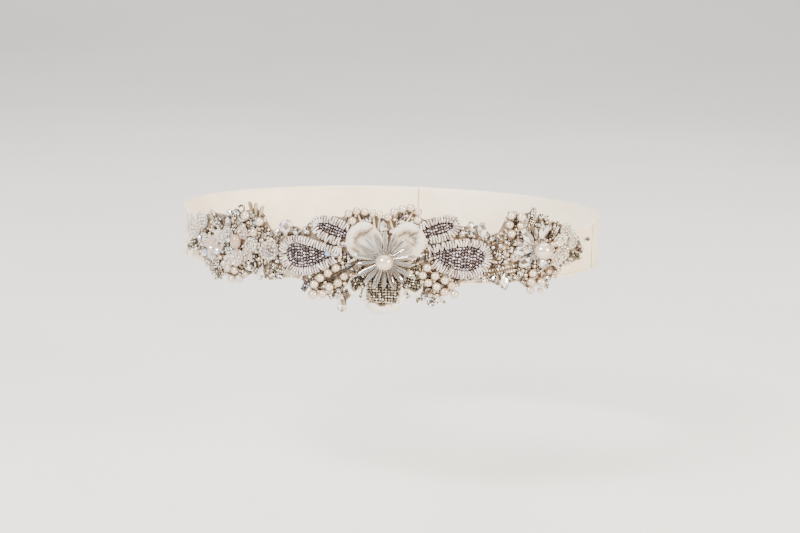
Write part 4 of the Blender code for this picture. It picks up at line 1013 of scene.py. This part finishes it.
# small beads and stones sewn between: finish, then u, v, rise and size
small = (
    "foiledStone", (-20.3, -3.2, 0.4, 3.6), (-23.4, -4.6, 0.2, 2.6), (-18.4, -5.6, 0.2, 2.4),
    (-10.9, 23.4, 0, 2.8), (-9, 24.8, 0, 2.2), "silverLined", (-16.8, 25.6, 0.4, 1.8),
    (-14, 24.6, 0.4, 1.8), (-12.6, 23, 0.4, 1.8), "auroraStone", (19.8, -18.3, 0.2, 2.8), "silverLined",
    (38.3, -8.5, 0.4, 1.9), (40.7, -11.7, 0.4, 1.9), "warmSilver", (36, -15.6, 0.4, 1.8),
    (-57, 11, 0.4, 1.9), "foiledStone", (-60.4, 6.8, 0, 2.2), "auroraStone", (-74.8, -13.4, 0.8, 3),
    "foiledStone", (-78.9, 13.6, 0.6, 2.6), "auroraStone", (-118.4, 3.1, 3, 3.6), "foiledStone",
    (-101.1, -10.4, 0.3, 3), (-92.6, 0.6, 2.6, 2.6), (-99.4, -2, 2.6, 2.4), (48.3, 15.7, 0.2, 3.2),
    "ivoryPearl", (103.2, 7.9, 1.4, 3), (99.9, 7.7, 1.8, 3.2), "foiledStone", (98.5, 1.4, 1.4, 3.2),
    (121.4, 8.9, 1.2, 2.4), "ivoryPearl", (-109.8, 5.7, 2.2, 2.6), "silverLined", (135.7, 6.2, -1.3, 2.6),
    "ivoryPearl", (93.3, -19.4, 0.2, 3.4), "foiledStone", (93.4, 20, 0.2, 2.6), (89.6, 19.6, 0.2, 2.4),
    "ivoryPearl", (78, 20, 0.2, 4), (-83, -14, 0.2, 3.4), (-98.4, -9.3, 0.6, 4.2), (-107, 9, 1.4, 2.8),
    (-101.6, -6.4, 1, 3), (-84.6, 14.6, 0.8, 3), "foiledStone", (66.1, 8.6, 1.6, 2.8),
    (68.9, 4.6, 1.8, 2.8), "ivoryPearl", (104.8, 3.4, 0.8, 2.8), (98.6, -8.6, 0.8, 3.4),
    (109.4, 8.2, 1.4, 2.6), (112.4, 3.8, 1.2, 2.6), "smokedStone", (22.3, -19.9, 0.2, 3.2),
    (28.8, -20.7, 0.2, 3.4), "auroraStone", (23.8, -21.8, 0.2, 2.8),
)

heap = newHeap()
for finish, u, v, rise, size in labelled(small):
    if finish.endswith("Stone"):
        stone(heap, u, v, seat + rise, size, finish, chance.uniform(0, 45))
    elif finish == "ivoryPearl":
        pearl(heap, u, v, seat + rise, size)
    else:
        seed(heap, u, v, seat + rise, size, finish, chance.uniform(0, 180))
# painted glints: small coloured lumps that stand for flashes of colour off the aurora coat; place, rise,
# size, and tone, from lilac 0 by blue 0.25 to green 1
paintedGlints = (
    (-126.5, 15.6, 4.4, 3, 1), (115.9, 13.5, 3.6, 2.6, 1), (-58.3, 18.2, 6.2, 3.2, 0),
    (-32.8, 3.4, 3.2, 2.6, 0.25), (70, -13.6, 4.4, 2, 0.75), (-74, -13, 3.4, 2.2, 0.75),
)
for u, v, rise, size, tone in paintedGlints:
    paintedGlint = placed(ballForm, (u, v, seat + rise), (size, size * 0.7, size * 0.4), 60)
    add(heap, paintedGlint, "auroraStone", tone)
# narrow clear drops: place, rise, width, length, direction
narrowDrops = (
    (95.4, 15.8, 1.4, 3.2, 9, 66), (88, 14.6, 1.6, 3, 8, 100),
    (-95.5, 14.8, 1.4, 3.2, 8, 100), (94.6, -2.8, 1.2, 3.6, 7, 310),
)
for u, v, rise, width, length, angle in narrowDrops:
    drop(heap, u, v, seat + rise, width, length, angle)
makePiece("smallStones", heap)

# thin see-through petals of the two side clusters, tipped up at their outer ends.
# Finish, then place, rise, length, width and outward direction
sequinPetals = (
    "blushSequin", (-106, 1, 1.8, 12.5, 10.5, 190), (-107.4, -5, 1.2, 9.5, 8, 215), "clearSequin",
    (-101, 6.8, 2.2, 9.5, 7.5, 150), "blushSequin", (-88.4, -4.6, 2.6, 10.5, 9, 280),
    (-81.6, -2.8, 1.6, 9, 7.5, 320), (-85, 11, 1.6, 9, 7.5, 60), "clearSequin",
    (-95.4, -7.4, 1.4, 8.5, 7, 245), "blushSequin", (-95.6, 9.8, 1.8, 8, 6, 120),
    (80.6, 21.4, 0.6, 8.5, 6.5, 120), "clearSequin", (106.4, 9.6, 1.6, 9, 7, 20),
    (104.8, -1.8, 1.2, 8, 6.5, 320), "blushSequin", (75.4, 1.8, 1, 7, 5.5, 200),
)

heap = newHeap()
for finish, u, v, rise, length, width, angle in labelled(sequinPetals):
    disc(heap, u, v, seat + rise, length, width, finish, -14, angle)
    seedRing(heap, u, v, seat + rise + 0.8, 0.26 * width, 5, 1.5, "clearSequin")
makePiece("sequinPetals", heap)

# stems and strands: what is threaded, then bead size (0 for a bare cord), rise and the line of places
strands = (
    "greyThread", (0, 6.6, (-16.3, -2.2), (-25.2, -6.5), (-33.4, -11.8)),
    (0, 6.2, (-16.3, -2.2), (-24.4, -8.1), (-33.4, -12.7)),
    (0, 5.4, (24.6, -6.2), (31.5, -11.4), (37, -15.8)), "creamThread",
    (0, 2, (-16, 28), (-14.6, 24.6), (-13, 21)), (0, 1.6, (-7, 27), (-6.4, 22), (-5.6, 18)),
    (0, 1.6, (-3.2, 26), (-3.6, 22), (-4, 18)), (0, 1.6, (2, 25), (3.4, 21), (4.6, 17.6)),
    (0, 1.6, (15.8, 30), (13, 25), (10.6, 21.6)), "warmSilver",
    (1.7, 0.9, (-68, -5), (-62.5, -7.2), (-57, -7.6)),
    (1.7, 0.9, (-66.4, -7.4), (-61.6, -9.4), (-56.6, -9.8)),
    (1.5, 0.8, (-88.6, 25.4), (-86.8, 26.6), (-84.9, 25.2), (-85.6, 22.6), (-87, 20)), "greyThread",
    (0, 4.4, (70.6, 28), (75.1, 28.4), (75.3, 21.6)), (0, 3.6, (75.4, 21.6), (78, 23.2), (82.4, 26.4)),
    "warmSilver", (1.6, 0.6, (-73.7, 23.8), (-71.4, 21.6), (-70.6, 18.6)),
    (1.7, 0.8, (-103.4, 8), (-99, 11), (-92, 11.6), (-86, 9.4)), "clearGlass",
    (1.8, 0.8, (-108.6, 4.6), (-103.6, 2.6), (-101.4, -4)), "warmSilver",
    (1.7, 0.6, (66.6, 12.6), (64.2, 14.2), (66.2, 16.2), (69.4, 15), (69, 11.8)),
    (1.8, 0.6, (57, -5.8), (63, -5.6), (70, -4.2), (77, -3.4)),
    (1.7, 0.6, (60, -8.2), (67, -7.2), (74, -6.6), (81, -5.2)),
    (1.5, 0.8, (71.6, 25.4), (73.6, 23.2), (76.4, 22.8), (78.5, 24.6)),
    (1.7, 0.6, (80, 17), (84, 18.4), (86, 20.6)), (1.7, 0.6, (102, 7.6), (104.6, 10.2), (106, 14)),
    (1.7, 0.6, (97, -5), (93, -8.4), (90, -9)),
)

cordRadius = {"greyThread": 0.3, "creamThread": 0.5}
heap = newHeap()
for finish, size, rise, *places in labelled(strands):
    fine, line = alongLine(places, 24)
    line[1:-1] = (line[:-2] + 2 * line[1:-1] + line[2:]) / 4  # rounds the corners
    if size == 0:
        bow = 0.6 + 0.6 * rise * np.sqrt(np.maximum(np.sin(np.linspace(0, np.pi, 24)), 0))
        add(heap, cordShape(np.column_stack((line, seat + bow)), cordRadius[finish], 7), finish)
    else:
        steps = np.arange(0, fine[-1], size * 0.92)
        for u, v, turnU, turnV in zip(*[np.interp(steps, fine, w) for w in (
                line[:, 0], line[:, 1], np.gradient(line[:, 0]), np.gradient(line[:, 1]))]):
            seed(heap, u, v, seat + rise, size, finish, np.degrees(np.arctan2(turnV, turnU)))
makePiece("stemsAndStrands", heap)

# tiny beads that crowd the cloth between the large ones, one every few millimetres on a jittered
# hexagonal grid, wherever nothing else sits. Columns: ground, spacing, share kept
crowd = (("ground_left", 2.2, 0.96), ("ground_right", 2.2, 0.96), ("ground_centre", 1.95, 0.94))
crowdFinish = {"warmSilver": 0.34, "ivoryPearl": 0.26, "clearGlass": 0.16, "silverLined": 0.12,
               "blushSeed": 0.08, "creamBugle": 0.04}
crowdSize, crowdJitter, crowdGap = (1.5, 2.4), 0.25, 0.4  # gap left round whatever else sits there
# a leaf covers no cloth before the share root of its length, before rimless on a side where its rim
# starts later, and past tip
bareCloth = {"root": 0.08, "rimless": 0.16, "tip": 1.02}
taken = [(part["u"], part["v"], part["clear"]) for part in (briolettes, flower)]  # place and radius
for kind, u, v, width, length, angle, rise in (row for rows in strings.values() for row in rows):
    if kind == "leaf":
        outU, outV = polar(length, np.radians(angle))
        taken += [(u + at * outU, v + at * outV, 0.54 * width) for at in (-0.36, -0.12, 0.12, 0.36)]
    elif kind != "bend":
        taken.append((u, v, 0.21 * (width + length)))
taken += [(u, v, 0.42 * size) for finish, u, v, rise, size in labelled(small)]
taken += [(u, v, 1.0) for finish, size, rise, *places in labelled(strands)
          for u, v in alongLine(places, 14)[1]]
taken += [(u0, v0 + up * (halfV - halfU), 0.92 * halfU) for name, u0, v0, halfU, halfV, *rest in petals
          for up in ((-1, 0, 1) if halfV > halfU else (0,))]
taken = np.array(taken)
for ground, spacing, kept in crowd:
    table = np.array(grounds[ground], float)
    columns = np.arange(table[0, 0] + 1.2, table[-1, 0] - 0.8, spacing * 0.87)
    heap = newHeap()
    for k, column in enumerate(columns):
        low, high = (np.interp(column, table[:, 0], table[:, j]) for j in (1, 2))
        rows = np.arange(low + 0.9 + 0.5 * spacing * (k % 2), high - 0.6, spacing)
        u = column + chance.normal(0, crowdJitter, len(rows))
        v = rows + chance.normal(0, crowdJitter, len(rows))
        clear = np.hypot(u[:, None] - taken[:, 0], v[:, None] - taken[:, 1]) - taken[:, 2]
        free = (clear.min(1) > crowdGap) & (chance.random(len(rows)) < kept)
        if ground == "ground_centre":
            for leaf in leaves:
                root, ahead, length = leafAxis(leaf)
                away = np.column_stack((u, v)) - root
                share = away @ ahead / length
                side = (away[:, 0] * ahead[1] - away[:, 1] * ahead[0]) * np.sign(ahead[0])
                rimmed = share > np.where(side > 0, leaf["lower"], leaf["upper"]) - 0.02
                half = leaf["width"] / 2 - np.where(rimmed, 0, rim["width"] - 1)
                covered = half * leafHalf(share, leaf["slowness"]) + crowdGap
                bare = (share < bareCloth["root"]) | (share > bareCloth["tip"])
                bare |= (share < bareCloth["rimless"]) & ~rimmed
                free &= bare | (np.abs(side) > covered)
        for pu, pv in zip(u[free], v[free]):
            finish = chance.choice(list(crowdFinish), p=list(crowdFinish.values()))
            size = chance.uniform(*crowdSize)
            place = (pu, pv, seat - 0.1)
            if finish == "ivoryPearl":
                pearl(heap, *place, size * 1.15)
            elif finish == "creamBugle":
                seed(heap, *place, size * 0.8, finish, chance.uniform(0, 180), size * 1.7)
            else:
                seed(heap, *place, size, finish, chance.uniform(0, 180))
    makePiece(pieceName(ground.replace("ground", "crowd")), heap)
print("small beads made")

# plain pale floor, soft studio light, and the camera at the photograph's angle
studio = {"floorDrop": 0.16, "world": 0.5}
tree, shader = startMaterial("paleFloor", {"Roughness": 0.9})
mottle = noise(tree, addNode(tree, "ShaderNodeTexCoord").outputs["Object"], 3.0)["Fac"]
tree.links.new(ramp(tree, {0.3: "E9E7E4", 0.7: "EFEDEA"}, mottle), shader.inputs["Base Color"])
along = np.array((-4.0, 2.2, 2.7, 3.2, 3.5, 3.6, 3.6))
rise = np.array((0.0, 0.0, 0.06, 0.25, 0.6, 1.1, 6.0)) - studio["floorDrop"]
sweep = np.stack(np.meshgrid((-7.0, 7.0), along, indexing="ij"), -1)
points = np.dstack((sweep, np.broadcast_to(rise, sweep.shape[:2]))).reshape(-1, 3)
count = len(along)
k = np.arange(count - 1)
floorFaces = np.column_stack((k, k + count, k + count + 1, k + 1))


# a plain mesh that belongs to the studio, not to the sash
def stagePiece(name, points, faces, finish):
    mesh = bpy.data.meshes.new(name)
    mesh.from_pydata(points, [], faces)
    mesh.materials.append(finishes[finish])
    newObject(name, mesh)
    return mesh


stagePiece("floor", points.tolist(), floorFaces.tolist(), "paleFloor").shade_smooth()

# a dark screen behind the camera, out of its sight, so that pearls and cut glass mirror some dark
startMaterial("darkScreen", {"Base Color": colour("3C332C"), "Roughness": 0.9})
corners = ((-1.1, -2.0, -0.15), (1.1, -2.0, -0.15), (1.1, -2.0, 0.95), (-1.1, -2.0, 0.95))
stagePiece("screen", corners, [(0, 1, 2, 3)], "darkScreen")

world = bpy.data.worlds.new("studio")
bpy.context.scene.world = world
world.use_nodes = True
world.node_tree.nodes["Background"].inputs["Color"].default_value = colour("F2F1F0")
world.node_tree.nodes["Background"].inputs["Strength"].default_value = studio["world"]

# name, place, size, power in watts, colour; every lamp looks at the middle of the sash
lamps = (
    ("windowLeft", (-0.8, -1.2, 1.25), 0.6, 76, "FFFDF8"),
    ("windowRight", (1.4, -0.9, 0.6), 0.35, 56, "FFE9CC"),
    ("overhead", (0.1, 0.9, 2.2), 2.4, 96, "FFFFFF"),
)
for name, place, size, power, tone in lamps:
    lamp = bpy.data.lights.new(name, "AREA")
    lamp.size, lamp.energy, lamp.color = size, power, colour(tone)[:3]
    holder = newObject(name, lamp)
    holder.location = place
    holder.rotation_euler = Vector(place).to_track_quat("Z", "Y").to_euler()

# the photograph's camera: an 85 mm lens 1.17 m from the waist's middle, a little right of the front
view = {"distance": 1.1707, "elevation": 9.97, "azimuth": 1.77, "roll": 1.365, "lens": 85.0,
        "shift": (0.01185, -0.0424)}
up, side, roll = (np.radians(view[key]) for key in ("elevation", "azimuth", "roll"))
back = np.array((np.sin(side) * np.cos(up), -np.cos(side) * np.cos(up), np.sin(up)))
right = np.array((np.cos(side), np.sin(side), 0.0))
above = np.cross(back, right)
turned = np.column_stack((
    np.cos(roll) * right + np.sin(roll) * above, -np.sin(roll) * right + np.cos(roll) * above, back,
))
lens = bpy.data.cameras.new("camera")
lens.lens, lens.sensor_width = view["lens"], 36.0
lens.shift_x, lens.shift_y = view["shift"]
lens.clip_start, lens.clip_end = 0.05, 50.0
camera = newObject("camera", lens)
camera.matrix_world = Matrix.Translation(back * view["distance"]) @ Matrix(turned.tolist()).to_4x4()
bpy.context.scene.camera = camera
